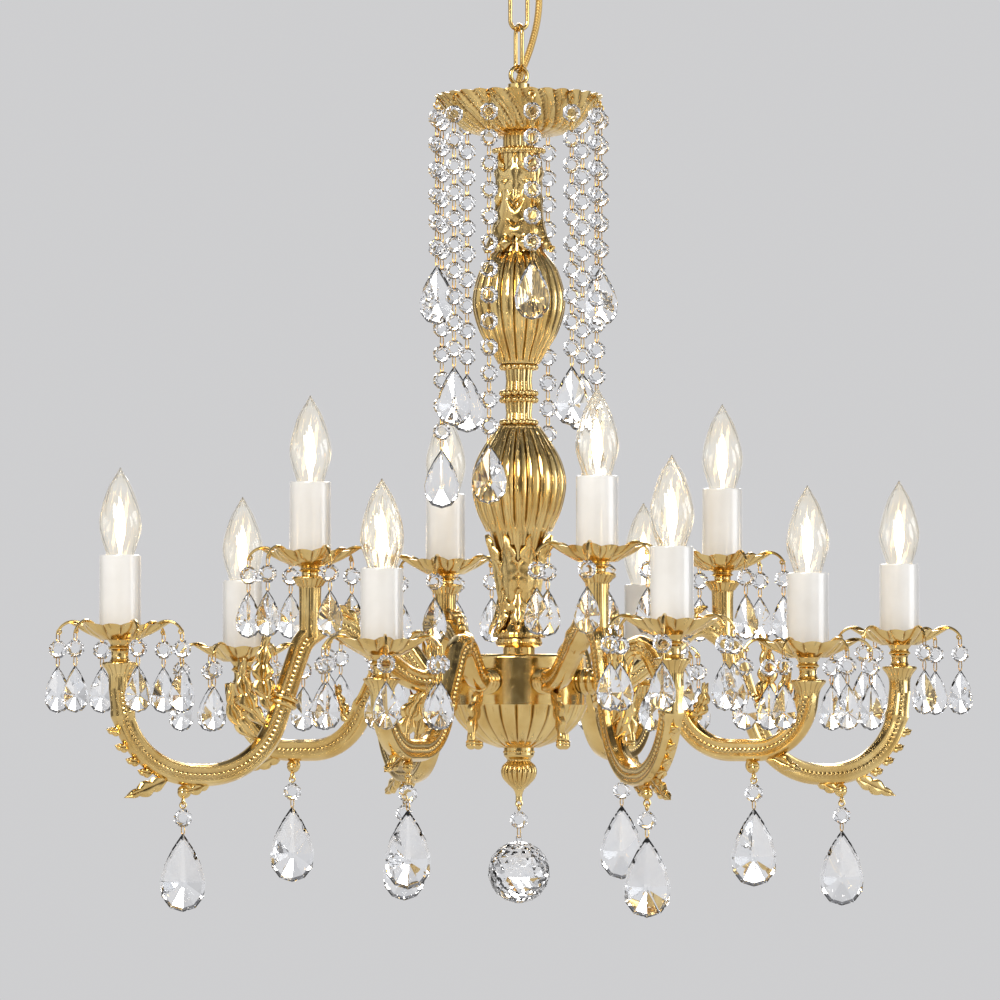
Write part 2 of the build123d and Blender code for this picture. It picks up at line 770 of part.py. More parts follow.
# Flat leaves on the arms: the crest from the collar, the spurs from the foot of the last bend
# and the tail that hangs from the root
CREST_OUTLINE = [
    ((7, -15), (23, 9), (19, 37)),
    ((19, 37), (31, 24), (33, 9)),
    ((33, 9), (40, 15), (44, 23)),
    ((44, 23), (43, -3), (23, -35)),
    ((23, -35), (12, -27), (7, -15)),
]
SPUR_OUTLINE = [
    ((-22, 15), (-12, 7), (6, 5)),
    ((6, 5), (-8, -1), (-18, -3)),
    ((-18, -3), (-6, -9), (0, -19)),
    ((0, -19), (-22, -15), (-44, -2)),
    ((-44, -2), (-32, 5), (-22, 15)),
]
TAIL_OUTLINE = [
    ((20, -5), (33, -22), (38, -48)),
    ((38, -48), (44, -55), (50, -48)),
    ((50, -48), (46, -24), (36, -5)),
    ((36, -5), (28, -3), (20, -5)),
]

with BuildPart() as inner_arm:
    add(arm_root())
    add(arm_tube(INNER_LINE, [40, 20, 28]))
    add(candle_cup(INNER_R, INNER_PAN_Z, INNER_CUP_H, HUMP_Z - 16))
    add(collar((ARM_COLLAR_R, 0, ARM_COLLAR_Z), -COLLAR_HEADING, 1))
    add(blade_plate(TAIL_OUTLINE, (HUB_R, ARM_Z)))

# Outer casting of a double arm, with its crest scroll and leaf spurs
with BuildPart() as outer_arm:
    add(arm_tube(OUTER_LINE, [62, 62]))
    add(candle_cup(OUTER_R, OUTER_PAN_Z, CUP_H, OUTER_PAN_Z - CUP_H - 20))
    add(collar((ARM_COLLAR_R, 0, ARM_COLLAR_Z), COLLAR_HEADING, 1))
    add(blade_plate(CREST_OUTLINE, (ARM_COLLAR_R, ARM_COLLAR_Z)))
    add(blade_plate(SPUR_OUTLINE, (OUTER_R, DOUBLE_LOW_Z)))
    add(knob(*DOUBLE_KNOB))

# Single arm
with BuildPart() as single_arm:
    add(arm_root())
    add(arm_tube(SINGLE_LINE, [26, 14, 48, 44]))
    add(candle_cup(SINGLE_R, SINGLE_PAN_Z, CUP_H, SINGLE_PAN_Z - CUP_H - 12))
    add(blade_plate(SPUR_OUTLINE, (SINGLE_R, SINGLE_LOW_Z)))
    add(blade_plate(TAIL_OUTLINE, (HUB_R - SINGLE_TAIL_SETBACK, ARM_Z)))
    add(knob(*SINGLE_KNOB))

for i in range(ARM_COUNT):
    save(turned(inner_arm.part, 90 * i), f"inner_arm_{i + 1}")
    save(turned(outer_arm.part, 90 * i), f"outer_arm_{i + 1}")
    save(turned(single_arm.part, 45 + 90 * i), f"single_arm_{i + 1}")

# Where the twelve lights stand: distance from the axis, pan level, direction
LIGHTS = []
for i in range(ARM_COUNT):
    LIGHTS.append((OUTER_R, OUTER_PAN_Z, 90 * i))
    LIGHTS.append((INNER_R, INNER_PAN_Z, 90 * i))
    LIGHTS.append((SINGLE_R, SINGLE_PAN_Z, 45 + 90 * i))


def at_lights(shape):
    """A copy of a light's piece, made on the Z axis over z = 0, at each light."""
    copies = []
    for radius, z, angle in LIGHTS:
        copies.append(turned(shape.moved(Location((radius, 0, z))), angle))
    return copies


# Drip pan: scalloped dish with curled prongs
with BuildPart() as drip_pan:
    add(
        lobed_loft(
            [(0, PAN_FOOT_R), (PAN_DEPTH * 0.4, PAN_RIM_R - 7), (PAN_DEPTH, PAN_RIM_R)],
            PAN_LOBES,
            FLUTE_DEPTH,
        )
    )
    add(
        revolved(
            [
                (0, PAN_WALL),
                (SLEEVE_D / 2 + 1, PAN_WALL),
                (PAN_RIM_R - 9, PAN_DEPTH * 0.4 + PAN_WALL),
                (PAN_RIM_R - 3.4, PAN_DEPTH + 0.5),
                (0, PAN_DEPTH + 0.5),
            ]
        ),
        mode=Mode.SUBTRACT,
    )
    for i in range(PRONGS):
        angle = radians(PRONG_PHASE + 360 * i / PRONGS)
        side = Plane((0, 0, 0), (cos(angle), sin(angle), 0), (sin(angle), -cos(angle), 0))
        with BuildLine(side) as prong_line:
            ThreePointArc(
                (PAN_RIM_R - 2.5, PAN_DEPTH - 1.5),
                (PRONG_REACH - 9, PAN_DEPTH + 2.5),
                (PRONG_REACH, PAN_DEPTH - PRONG_TIP_DROP),
            )
        prong_path = prong_line.wires()[0]
        with BuildSketch(Plane(prong_path @ 0, z_dir=prong_path % 0)):
            Circle(PRONG_D / 2)
        sweep(path=prong_path)
    with BuildSketch(Plane.XY):
        Circle(HOLDER_STEM_D / 2 + CLEARANCE)
    extrude(amount=PAN_WALL, mode=Mode.SUBTRACT)
group(at_lights(drip_pan.part), "drip_pans")

# Candle sleeve
SLEEVE_TOP = PAN_WALL + SLEEVE_HEIGHT
with BuildPart() as candle_sleeve:
    with BuildSketch(Plane.XY.offset(PAN_WALL)):
        Circle(SLEEVE_D / 2)
        Circle(SLEEVE_D / 2 - SLEEVE_WALL, mode=Mode.SUBTRACT)
    extrude(amount=SLEEVE_HEIGHT)
group(at_lights(candle_sleeve.part), "candle_sleeves")

# Lampholder: it stands in the pan, with a stem through pan and cup
HOLDER_TOP = SLEEVE_TOP - CAP_RECESS
with BuildPart() as lampholder:
    with BuildSketch(Plane.XY.offset(PAN_WALL)):
        Circle(HOLDER_D / 2)
    extrude(amount=HOLDER_TOP - PAN_WALL)
    with BuildSketch(Plane.XY.offset(HOLDER_TOP)):
        Circle(CAP_D / 2 + CLEARANCE)
    extrude(amount=-CAP_LENGTH, mode=Mode.SUBTRACT)
    with BuildSketch(Plane.XY.offset(PAN_WALL)):
        Circle(HOLDER_STEM_D / 2)
    extrude(amount=-HOLDER_STEM_LENGTH)
group(at_lights(lampholder.part), "lampholders")

# Bulb: screw cap and candle-shaped glass
with BuildPart() as bulb_cap:
    with BuildSketch(Plane.XY.offset(HOLDER_TOP - CAP_LENGTH)):
        Circle(CAP_D / 2)
    extrude(amount=CAP_LENGTH)
group(at_lights(bulb_cap.part), "bulb_caps")

with BuildPart() as bulb_glass:
    with BuildSketch(Plane.XZ):
        with BuildLine():
            Polyline((0, HOLDER_TOP), (CAP_D / 2, HOLDER_TOP))
            Spline(
                (CAP_D / 2, HOLDER_TOP),
                (GLASS_NECK_D / 2 + 3, SLEEVE_TOP + 3),
                (GLASS_D / 2, SLEEVE_TOP + GLASS_LENGTH * 0.33),
                (GLASS_D * 0.3, SLEEVE_TOP + GLASS_LENGTH * 0.66),
                (0, HOLDER_TOP + GLASS_LENGTH),
            )
            Line((0, HOLDER_TOP + GLASS_LENGTH), (0, HOLDER_TOP))
        make_face()
    revolve(axis=Axis.Z)
group(at_lights(bulb_glass.part), "bulb_glass")

# Crystal masters, hung from z = 0 and facing the front
with BuildPart() as bead:
    with BuildSketch(Plane.XZ.offset(0)):
        with Locations((0, -BEAD_D / 2)):
            RegularPolygon(BEAD_D / 2, 8, major_radius=False, rotation=22.5)
    extrude(amount=BEAD_T / 2, both=True, taper=BEAD_TAPER)


def pear(length, width, thickness):
    """A faceted pear drop: a star of facets over a teardrop outline on both faces."""
    corners = []
    for i in range(PEAR_SIDES):
        angle = 2 * pi * i / PEAR_SIDES
        swell = sin(angle) * sin(angle / 2) / 0.77
        corners.append((swell * width / 2, -length * (1 - cos(angle)) / 2))
    star = -length * 0.66
    with BuildPart() as drop:
        with BuildSketch(Plane.XZ) as outline:
            with BuildLine():
                Polyline(*corners, close=True)
            make_face()
        face = outline.sketch.face()
        loft(sections=[face, Vertex(0, -thickness / 2, star)], ruled=True)
        loft(sections=[face, Vertex(0, thickness / 2, star)], ruled=True)
    return drop.part


def pin(length):
    """A flat brass pin that hangs down from z = 0."""
    with BuildPart() as body:
        with BuildSketch():
            Rectangle(PIN_WIDTH, PIN_T)
        extrude(amount=-length)
    return body.part


def hung(shape, x, y, z):
    """A copy of a crystal or pin, facing the front, with its top at a point."""
    return shape.moved(Location((x, y, z), (0, 0, FRONT_TURN)))


# A hanging ring's place under its eye
RING_DROP = 2 * EYE_RING_R - EYE_RING_WIRE_R - HANG_RING_WIRE_R - LINK_GAP
RING_FOOT = RING_DROP + EYE_RING_R + HANG_RING_WIRE_R


def hang_ring(x, y, z, along):
    """The ring that hangs in an eye centred at z, upright along a direction."""
    face = Plane((x, y, z - RING_DROP), along, Vector(along).cross(Vector(0, 0, 1)))
    return ring(EYE_RING_R, HANG_RING_WIRE_R, face)


def crystal_string(x, y, eye_z, along, beads, link, drop):
    """A ring, a run of beads joined by pins, and the drop at its foot."""
    link_pin = pin(link - 2 * PIN_GAP)
    solids = [hang_ring(x, y, eye_z, along)]
    z = eye_z - RING_FOOT - SEAT_GAP
    for _ in range(beads):
        solids.append(hung(bead.part, x, y, z))
        z -= BEAD_D
        solids.append(hung(link_pin, x, y, z - PIN_GAP))
        z -= link
    solids.append(hung(drop, x, y, z))
    return solids


# Strands round the top bowl: short, medium and long in turn
strand_drop = pear(*STRAND_DROP)
for i in range(STRAND_COUNT):
    angle = radians(STRAND_PHASE + 360 * i / STRAND_COUNT)
    outward = (cos(angle), sin(angle), 0)
    solids = crystal_string(
        STRAND_R * outward[0],
        STRAND_R * outward[1],
        STRAND_EYE_Z,
        outward,
        STRAND_BEADS[i % 3],
        BEAD_PITCH - BEAD_D,
        strand_drop,
    )
    group(solids, f"strand_{i + 1}")

# Large drops under the arms
arm_drop = pear(*ARM_DROP)
for i in range(2 * ARM_COUNT):
    angle = radians(ARM_ANGLES[i])
    radius, z = DOUBLE_KNOB if i % 2 == 0 else SINGLE_KNOB
    eye_z = z - KNOB_R - EYE_RING_R + 0.6
    outward = (cos(angle), sin(angle), 0)
    solids = crystal_string(
        radius * outward[0], radius * outward[1], eye_z, outward, 1, ARM_DROP_GAP, arm_drop
    )
    group(solids, f"arm_drop_{i + 1}")

# Crystal ball under the finial
BALL_Z = -BALL_STUB - (BALL_D**2 / 4 - BALL_NECK_R**2) ** 0.5
with BuildPart() as ball:
    with BuildSketch(Plane.XZ):
        with BuildLine():
            neck = Polyline((0, 0), (BALL_NECK_R, 0), (BALL_NECK_R, -BALL_STUB))
            ThreePointArc(neck @ 1, (BALL_D / 2, BALL_Z), (0, BALL_Z - BALL_D / 2))
            Line((0, BALL_Z - BALL_D / 2), (0, 0))
        make_face()
    revolve(axis=Axis.Z)
group(
    crystal_string(0, 0, FINIAL_END_Z - EYE_RING_R, (0, 1, 0), 1, PIN_GAP * 30, ball.part),
    "crystal_ball",
)

# Pendants under the drip pans' prongs
pan_drop = pear(*PAN_DROP)
bead_pin = pin(PAN_BEAD_GAP - 2 * PIN_GAP)
drop_pin = pin(PAN_DROP_GAP - 2 * PIN_GAP)
pendant_crystals = []
pendant_pins = []
for radius, pan_z, angle in LIGHTS:
    for i in range(PRONGS):
        prong = radians(angle + PRONG_PHASE + 360 * i / PRONGS)
        x = radius * cos(radians(angle)) + PRONG_REACH * cos(prong)
        y = radius * sin(radians(angle)) + PRONG_REACH * sin(prong)
        z = pan_z + PAN_DEPTH - PRONG_TIP_DROP - PRONG_D / 6
        pendant_pins.append(hung(bead_pin, x, y, z - PIN_GAP))
        z -= PAN_BEAD_GAP
        pendant_crystals.append(hung(bead.part, x, y, z))
        z -= BEAD_D
        pendant_pins.append(hung(drop_pin, x, y, z - PIN_GAP))
        z -= PAN_DROP_GAP
        pendant_crystals.append(hung(pan_drop, x, y, z))
group(pendant_crystals, "pan_crystals")
group(pendant_pins, "pan_pins")
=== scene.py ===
"""Looks of a gilt brass chandelier with crystal strings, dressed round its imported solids.

Sizes are in millimetres, as the solids' own are, and become metres when a mesh is made.
The chandelier's axis is the Z axis and the ceiling is at z = 0.
"""

import logging
import math
from dataclasses import dataclass, field
from enum import Enum

import bmesh
import bpy
import numpy as np
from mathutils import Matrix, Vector


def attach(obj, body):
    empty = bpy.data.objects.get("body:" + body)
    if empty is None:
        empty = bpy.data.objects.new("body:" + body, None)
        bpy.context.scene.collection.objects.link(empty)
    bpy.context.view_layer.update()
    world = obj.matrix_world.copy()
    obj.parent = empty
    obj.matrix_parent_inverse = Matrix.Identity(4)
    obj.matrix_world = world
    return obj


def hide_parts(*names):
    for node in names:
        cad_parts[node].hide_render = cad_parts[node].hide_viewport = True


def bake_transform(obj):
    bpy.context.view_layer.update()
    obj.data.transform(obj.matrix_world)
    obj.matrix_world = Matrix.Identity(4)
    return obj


Material = bpy.types.Material
Socket = bpy.types.NodeSocket

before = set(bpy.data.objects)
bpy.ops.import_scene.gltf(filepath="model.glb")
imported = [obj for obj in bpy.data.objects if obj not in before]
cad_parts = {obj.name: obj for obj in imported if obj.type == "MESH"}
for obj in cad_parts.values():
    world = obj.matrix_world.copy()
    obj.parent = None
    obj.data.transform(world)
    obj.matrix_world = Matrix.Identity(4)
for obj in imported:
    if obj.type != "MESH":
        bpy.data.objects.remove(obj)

LOG = logging.getLogger("chandelier")
MM = 0.001
MAIN_BODY = "chandelier"

# The plan: where the front is, and what hangs where
FRONT_TURN = -20.0
ARM_COUNT = 4
SINGLE_TURN = 45.0
STRAND_COUNT = 12
STRAND_R = 68.0
STRAND_EYE_Z = -157.4
STRAND_PHASE = -11.0
DOUBLE_KNOB = (287.0, -722.0)
SINGLE_KNOB = (208.0, -702.0)
PRONG_COUNT = 6
PRONG_PHASE = 30.0
PRONG_REACH = 51.0
EYE_R = 2.5
EYE_WIRE = 0.8

# How finely shapes are made, and the form of valleys and leaves
ROUND = 96
ARC_POINTS = 24
WIRE_SIDES = 8
RING_ROWS = 14
BEAD_COLUMNS = 8
BEAD_ROWS = 10
LEAST_R = 0.2
VALLEY_POWER = 1.6
LEAF_COLUMNS = 13
LEAF_LEAST = 0.25
LEAF_ROOT = 0.08
LEAF_BODY = 0.68
LEAF_LOBE = 0.4
LOBE_POWER = 0.7
LOBE_SWEEP = 0.5
RIB_RISE = 0.5
MIDRIB_DEPTH = 0.8
MIDRIB_WIDTH = 0.14
# how fast a hollow fills with the gilt's patina and painted shade
HOLLOW_GAIN = 2.5
CREASE = 40.0

# The usual span of noise
NOISE_LOW = 0.3
NOISE_HIGH = 0.7


class Slot(Enum):
    """The record's finishes, listed in the candle rows; no piece is given one."""

    GOLD = "gold"
    CRYSTAL = "crystal"
    GLASS = "bulb_glass"
    CANDLE = "candle"
    CABLE = "cable"


@dataclass
class Shape:
    """A mesh in the making.

    Attributes:
        points: one row of x, y, z in millimetres for each point.
        faces: blocks of faces, each an array with one row of point numbers a face.
    """

    points: np.ndarray
    faces: list[np.ndarray]

    def moved(self, x: float, y: float, z: float) -> "Shape":
        """The shape carried along x, y and z."""
        return Shape(self.points + np.array([x, y, z]), self.faces)

    def spun(self, degrees: float, point: tuple = (0, 0, 0), axis: tuple = (0, 0, 1)) -> "Shape":
        """The shape turned about a line, by the rule v cos + (k x v) sin + k (k.v)(1 - cos).

        Args:
            degrees: how far it turns.
            point: a point on the line.
            axis: the line's direction.

        Returns:
            The turned copy.
        """
        k = np.array(axis, float) / np.linalg.norm(axis)
        v = self.points - np.array(point, float)
        cosine = math.cos(math.radians(degrees))
        sine = math.sin(math.radians(degrees))
        turned = v * cosine + np.cross(k, v) * sine + np.outer(v @ k, k) * (1 - cosine)
        return Shape(turned + np.array(point, float), self.faces)

    def around(self, count: int, phase: float = 0.0) -> "Shape":
        """Copies of the shape spread evenly about the axis."""
        return joined([self.spun(phase + 360 * i / count) for i in range(count)])


def polar(radius: float, degrees: float) -> tuple[float, float]:
    """The x and y of a point at a distance from the axis, in a direction."""
    return radius * math.cos(math.radians(degrees)), radius * math.sin(math.radians(degrees))


def round_angles(count: int) -> np.ndarray:
    """Angles spread evenly over a full turn, in radians."""
    return np.linspace(0, 2 * np.pi, count, endpoint=False)


def headings(line: np.ndarray) -> np.ndarray:
    """The unit direction of a line at each of its points."""
    way = np.gradient(line, axis=0)
    return way / np.linalg.norm(way, axis=1, keepdims=True)


def run_along(line: np.ndarray) -> np.ndarray:
    """How far along a line each of its points is."""
    return np.concatenate([[0], np.cumsum(np.linalg.norm(np.diff(line, axis=0), axis=1))])


def resampled(line: np.ndarray, run: np.ndarray, spread: np.ndarray) -> np.ndarray:
    """The points of a flat line at given distances along it."""
    return np.stack([np.interp(spread, run, line[:, i]) for i in range(2)], axis=-1)


def hump(distance: np.ndarray, width: float, power: int = 2) -> np.ndarray:
    """A smooth hump of height 1: exp(-(distance / width)^power)."""
    return np.exp(-((distance / width) ** power))


def joined(shapes: list[Shape]) -> Shape:
    """Several shapes as one, their faces renumbered.

    Args:
        shapes: the shapes to put together.

    Returns:
        One shape that holds them all.
    """
    starts = np.cumsum([0] + [len(shape.points) for shape in shapes])
    faces = [block + start for shape, start in zip(shapes, starts) for block in shape.faces]
    return Shape(np.concatenate([shape.points for shape in shapes]), faces)


def grid(points: np.ndarray, loop: bool = False) -> Shape:
    """A skin over rows of closed rings: four-sided faces, with a flat lid at each end.

    Args:
        points: an array of rows, columns and x, y, z; each row is a closed ring.
        loop: whether the last row joins the first, which leaves no ends to close.

    Returns:
        The closed shape.
    """
    rows, columns = points.shape[:2]
    number = np.arange(rows * columns).reshape(rows, columns)
    beside = np.roll(number, -1, axis=1)
    below = np.roll(number, -1, axis=0)
    corner = np.roll(beside, -1, axis=0)
    quads = np.stack([number, beside, corner, below], axis=-1)
    if loop:
        return Shape(points.reshape(-1, 3), [quads.reshape(-1, 4)])
    blocks = [quads[:-1].reshape(-1, 4), number[:1, ::-1], number[-1:]]
    return Shape(points.reshape(-1, 3), blocks)


def faceted(rings: np.ndarray) -> Shape:
    """A cut stone: each pair of rings is joined by flat triangles, and the ends by flat tables.

    Args:
        rings: an array of rings, corners and x, y, z.

    Returns:
        The closed shape.
    """
    rows, columns = rings.shape[:2]
    number = np.arange(rows * columns).reshape(rows, columns)
    beside = np.roll(number, -1, axis=1)
    first = np.stack([number[:-1], beside[:-1], number[1:]], axis=-1).reshape(-1, 3)
    second = np.stack([beside[:-1], beside[1:], number[1:]], axis=-1).reshape(-1, 3)
    return Shape(rings.reshape(-1, 3), [first, second, number[:1, ::-1], number[-1:]])


def flowing(knots: list[tuple], count: int) -> np.ndarray:
    """A smooth line through points: on each span a cubic with the chord of its neighbours as slope.

    Args:
        knots: the points that it passes through.
        count: how many points it gets.

    Returns:
        The line's points, evenly spread over the knots.
    """
    k = np.array(knots, float)
    slope = np.gradient(k, axis=0)
    t = np.linspace(0, len(k) - 1, count)
    i = np.minimum(t.astype(int), len(k) - 2)
    u = (t - i)[:, None]
    rise = k[i + 1] - k[i]
    return k[i] + u * (slope[i] + u * (3 * rise - 2 * slope[i] - slope[i + 1]
                                       + u * (slope[i] + slope[i + 1] - 2 * rise)))


def arc(start: tuple, middle: tuple, end: tuple, count: int) -> np.ndarray:
    """Points on the circle through three points, from the first to the last.

    Args:
        start: where it starts.
        middle: a point that it passes.
        end: where it ends.
        count: how many points it gets.

    Returns:
        The arc's points.
    """
    a, b, c = (np.array(p, float) for p in (start, middle, end))
    sides = 2 * np.array([b - a, c - a])
    centre = np.linalg.solve(sides, np.array([b @ b - a @ a, c @ c - a @ a]))
    angle = [math.atan2(p[1] - centre[1], p[0] - centre[0]) for p in (a, b, c)]
    step = np.unwrap(angle)
    sweep = np.linspace(step[0], step[2], count)
    radius = np.linalg.norm(a - centre)
    return centre + radius * np.stack([np.cos(sweep), np.sin(sweep)], axis=-1)


def rounded_line(corners: list[tuple], radii: list[float], step: float) -> np.ndarray:
    """A bent rod's line: straight runs joined by arcs that touch both runs at each corner.

    Args:
        corners: the ends and corners as (distance from the axis, z).
        radii: the arc's radius at each inner corner.
        step: the spacing of the points.

    Returns:
        Points at even steps along the line.
    """
    pts = [np.array(p, float) for p in corners]
    line = [pts[0][None]]
    for before, corner, after, radius in zip(pts, pts[1:], pts[2:], radii):
        into = (corner - before) / np.linalg.norm(corner - before)
        out = (after - corner) / np.linalg.norm(after - corner)
        half = math.acos(np.clip(into @ out, -1, 1)) / 2
        reach = radius * math.tan(half)
        inward = (out - into) / np.linalg.norm(out - into)
        top = corner + inward * (radius / math.cos(half) - radius)
        line.append(arc(corner - into * reach, top, corner + out * reach, ARC_POINTS))
    line.append(pts[-1][None])
    raw = np.concatenate(line)
    run = run_along(raw)
    return resampled(raw, run, np.linspace(0, run[-1], int(run[-1] / step) + 2))


def along(line: np.ndarray, section: np.ndarray) -> Shape:
    """A section carried along a line in the XZ plane: each ring lies square to the line.

    Args:
        line: points as (distance from the axis, z).
        section: radii, one row for each point of the line and one column for each angle.

    Returns:
        The closed bar.
    """
    way = headings(line)
    normal = np.stack([-way[:, 1], way[:, 0]], axis=-1)
    angle = round_angles(section.shape[1])
    up = section * np.cos(angle)
    side = section * np.sin(angle)
    x = line[:, :1] + up * normal[:, :1]
    z = line[:, 1:] + up * normal[:, 1:]
    return grid(np.stack([x, side, z], axis=-1))


def lathe(profile: np.ndarray, columns: int, lobes: int = 0, depth: float = 0.0,
          twist: float = 0.0, loop: bool = False, fade: np.ndarray | None = None) -> Shape:
    """A turned casting: r(z) less depth times a rounded valley between lobes that may twist.

    Args:
        profile: rows of (r, z).
        columns: how many points go round.
        lobes: how many ridges go round.
        depth: how deep the valleys are.
        twist: how far the ridges turn, in degrees, for each millimetre of height.
        loop: whether the profile closes on itself.
        fade: the share of the depth at each row, all of it if left out.

    Returns:
        The closed shape.
    """
    angle = round_angles(columns)
    r, z = profile[:, :1], profile[:, 1:]
    share = np.ones_like(r) if fade is None else fade[:, None]
    valley = 1 - np.abs(np.cos(lobes / 2 * (angle + np.radians(twist) * (z - z[0]))))
    radius = np.maximum(r - depth * share * valley ** VALLEY_POWER, LEAST_R) if lobes else r + 0 * angle
    return grid(np.stack([radius * np.cos(angle), radius * np.sin(angle), z + 0 * angle], axis=-1), loop)


def torus(radius: float, wire: float, across: tuple, centre: tuple, count: int = 20) -> Shape:
    """A wire ring: a small circle carried round a large one that stands upright along a direction.

    Args:
        radius: the ring's radius to the wire's middle.
        wire: the wire's radius.
        across: the direction, square to Z, that the upright ring lies along.
        centre: the ring's middle.
        count: how many sections go round.

    Returns:
        The closed ring.
    """
    a, b = round_angles(count)[:, None], round_angles(WIRE_SIDES)[None]
    flat = (radius + wire * np.cos(b)) * np.cos(a)
    tall = (radius + wire * np.cos(b)) * np.sin(a)
    thick = wire * np.sin(b) + 0 * a
    e = np.array(across, float) / np.linalg.norm(across)
    n = np.cross(e, (0, 0, 1))
    points = flat[..., None] * e + thick[..., None] * n + tall[..., None] * np.array([0, 0, 1.0])
    return grid(points + np.array(centre, float), loop=True)


def there_and_back(near: np.ndarray, far: np.ndarray) -> np.ndarray:
    """Rows that run over one face of a blade and back over its other face."""
    return np.concatenate([near, far[:, ::-1]], axis=1)


def leaf(spine: np.ndarray, width: float, teeth: int, thickness: float = 1.8, cup: float = 1.5,
         fullness: float = 0.7, upright: bool = False) -> Shape:
    """A cast acanthus leaf along a line in the XZ plane, lying across the plane or upright in it.

    With s from 0 at the root to 1 at the tip and t from -1 to 1 across, the half-width is
    width/2 * (sin(pi s^fullness) + root (1 - s)) * (body + lobe |sin(pi teeth s)|^power) + least, which
    makes round lobes. Each row is swept towards the tip by sweep |t| (1 - s) / teeth, so that the lobes
    lean forward. The blade is cupped by cup * t^2, grooved along its midrib, and ribbed along each lobe.
    An upright leaf has the same relief on both faces and no cup.

    Args:
        spine: points as (distance from the axis, z), from the root to the tip.
        width: the widest measure.
        teeth: how many teeth each edge has.
        thickness: the cast metal's thickness.
        cup: how far the edges stand out from the midrib, along the line's normal.
        fullness: under 1 the leaf is widest near its root, over 1 near its tip.
        upright: whether its width lies in the XZ plane.

    Returns:
        The closed leaf.
    """
    s = np.linspace(0, 1, len(spine))[:, None]
    t = np.linspace(-1, 1, LEAF_COLUMNS)
    half = width / 2 * (np.sin(np.pi * s ** fullness) + LEAF_ROOT * (1 - s))
    lobes = np.abs(np.sin(np.pi * teeth * s)) ** LOBE_POWER
    half = half * (LEAF_BODY + LEAF_LOBE * lobes) + LEAF_LEAST
    way = headings(spine)
    reach = np.clip(s + LOBE_SWEEP / teeth * np.abs(t) * (1 - s), 0, 1)
    ribs = -RIB_RISE * np.cos(2 * np.pi * teeth * s) * np.abs(t)
    groove = MIDRIB_DEPTH * hump(t, MIDRIB_WIDTH)
    body = thickness / 2 * np.clip(half / 2.5, 0.25, 1) * (1 - 0.6 * t ** 4)
    across = there_and_back(half * t, half * t)
    if upright:
        face = np.maximum(body + (ribs - groove) * np.clip(half / 4, 0, 1), 0.3)
        up, side = across, there_and_back(face, -face)
    else:
        rise = cup * t ** 2 + ribs - groove
        up, side = there_and_back(rise + body, rise - body), across
    both, rows = there_and_back(reach, reach), s[:, 0]
    x = np.interp(both, rows, spine[:, 0]) - up * np.interp(both, rows, way[:, 1])
    z = np.interp(both, rows, spine[:, 1]) + up * np.interp(both, rows, way[:, 0])
    return grid(np.stack([x, side, z], axis=-1))


def hollows(mesh: bpy.types.Mesh) -> np.ndarray:
    """How hollow a mesh is at each point: the mean lean of its edges above the tangent plane.

    Args:
        mesh: the mesh to measure.

    Returns:
        A number from 0, flat or standing out, to 1, deep in a groove.
    """
    count = len(mesh.vertices)
    points = np.empty(count * 3)
    normals = np.empty(count * 3)
    edges = np.empty(len(mesh.edges) * 2, int)
    mesh.vertices.foreach_get("co", points)
    mesh.vertices.foreach_get("normal", normals)
    mesh.edges.foreach_get("vertices", edges)
    points, normals, edges = points.reshape(-1, 3), normals.reshape(-1, 3), edges.reshape(-1, 2)
    way = points[edges[:, 1]] - points[edges[:, 0]]
    way /= np.maximum(np.linalg.norm(way, axis=1, keepdims=True), 1e-9)
    lean = np.zeros(count)
    seen = np.zeros(count)
    for end, sign in ((0, 1), (1, -1)):
        np.add.at(lean, edges[:, end], sign * (normals[edges[:, end]] * way).sum(axis=1))
        np.add.at(seen, edges[:, end], 1)
    return np.clip(HOLLOW_GAIN * lean / np.maximum(seen, 1), 0, 1)


def piece(name: str, shape: Shape, body: str, nodes: list[str],
          finish: Material, crease: float = CREASE) -> bpy.types.Object:
    """Makes one object of the chandelier from a shape.

    Args:
        name: the object's name.
        shape: its points and faces.
        body: the body that it moves with.
        nodes: the solids that it stands for.
        finish: its material.
        crease: faces that meet at more than this angle, in degrees, keep a sharp edge; 0 keeps all.

    Returns:
        The object.
    """
    mesh = bpy.data.meshes.new(name)
    faces = [row for block in shape.faces for row in block.tolist()]
    mesh.from_pydata((shape.points * MM).tolist(), [], faces)
    work = bmesh.new()
    work.from_mesh(mesh)
    bmesh.ops.recalc_face_normals(work, faces=work.faces)
    work.to_mesh(mesh)
    work.free()
    mesh.polygons.foreach_set("use_smooth", np.full(len(mesh.polygons), crease > 0))
    if crease:
        mesh.set_sharp_from_angle(angle=math.radians(crease))
        # how hollow each point is; the gilt material paints shade and patina there
        mesh.attributes.new("hollow", "FLOAT", "POINT").data.foreach_set("value", hollows(mesh))
    mesh.materials.append(finish)
    obj = bpy.data.objects.new(name, mesh)
    bpy.context.scene.collection.objects.link(obj)
    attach(obj, body)
    if nodes:
        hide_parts(*nodes)
    LOG.info("%s: %d faces on %s", name, len(faces), body)
    return obj


def dress(node: str, finish: Material) -> None:
    """Gives a carried-over solid its finish.

    Args:
        node: the solid's name.
        finish: its material.
    """
    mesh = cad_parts[node].data
    mesh.materials.clear()
    mesh.materials.append(finish)
    LOG.info("%s: carried over", node)


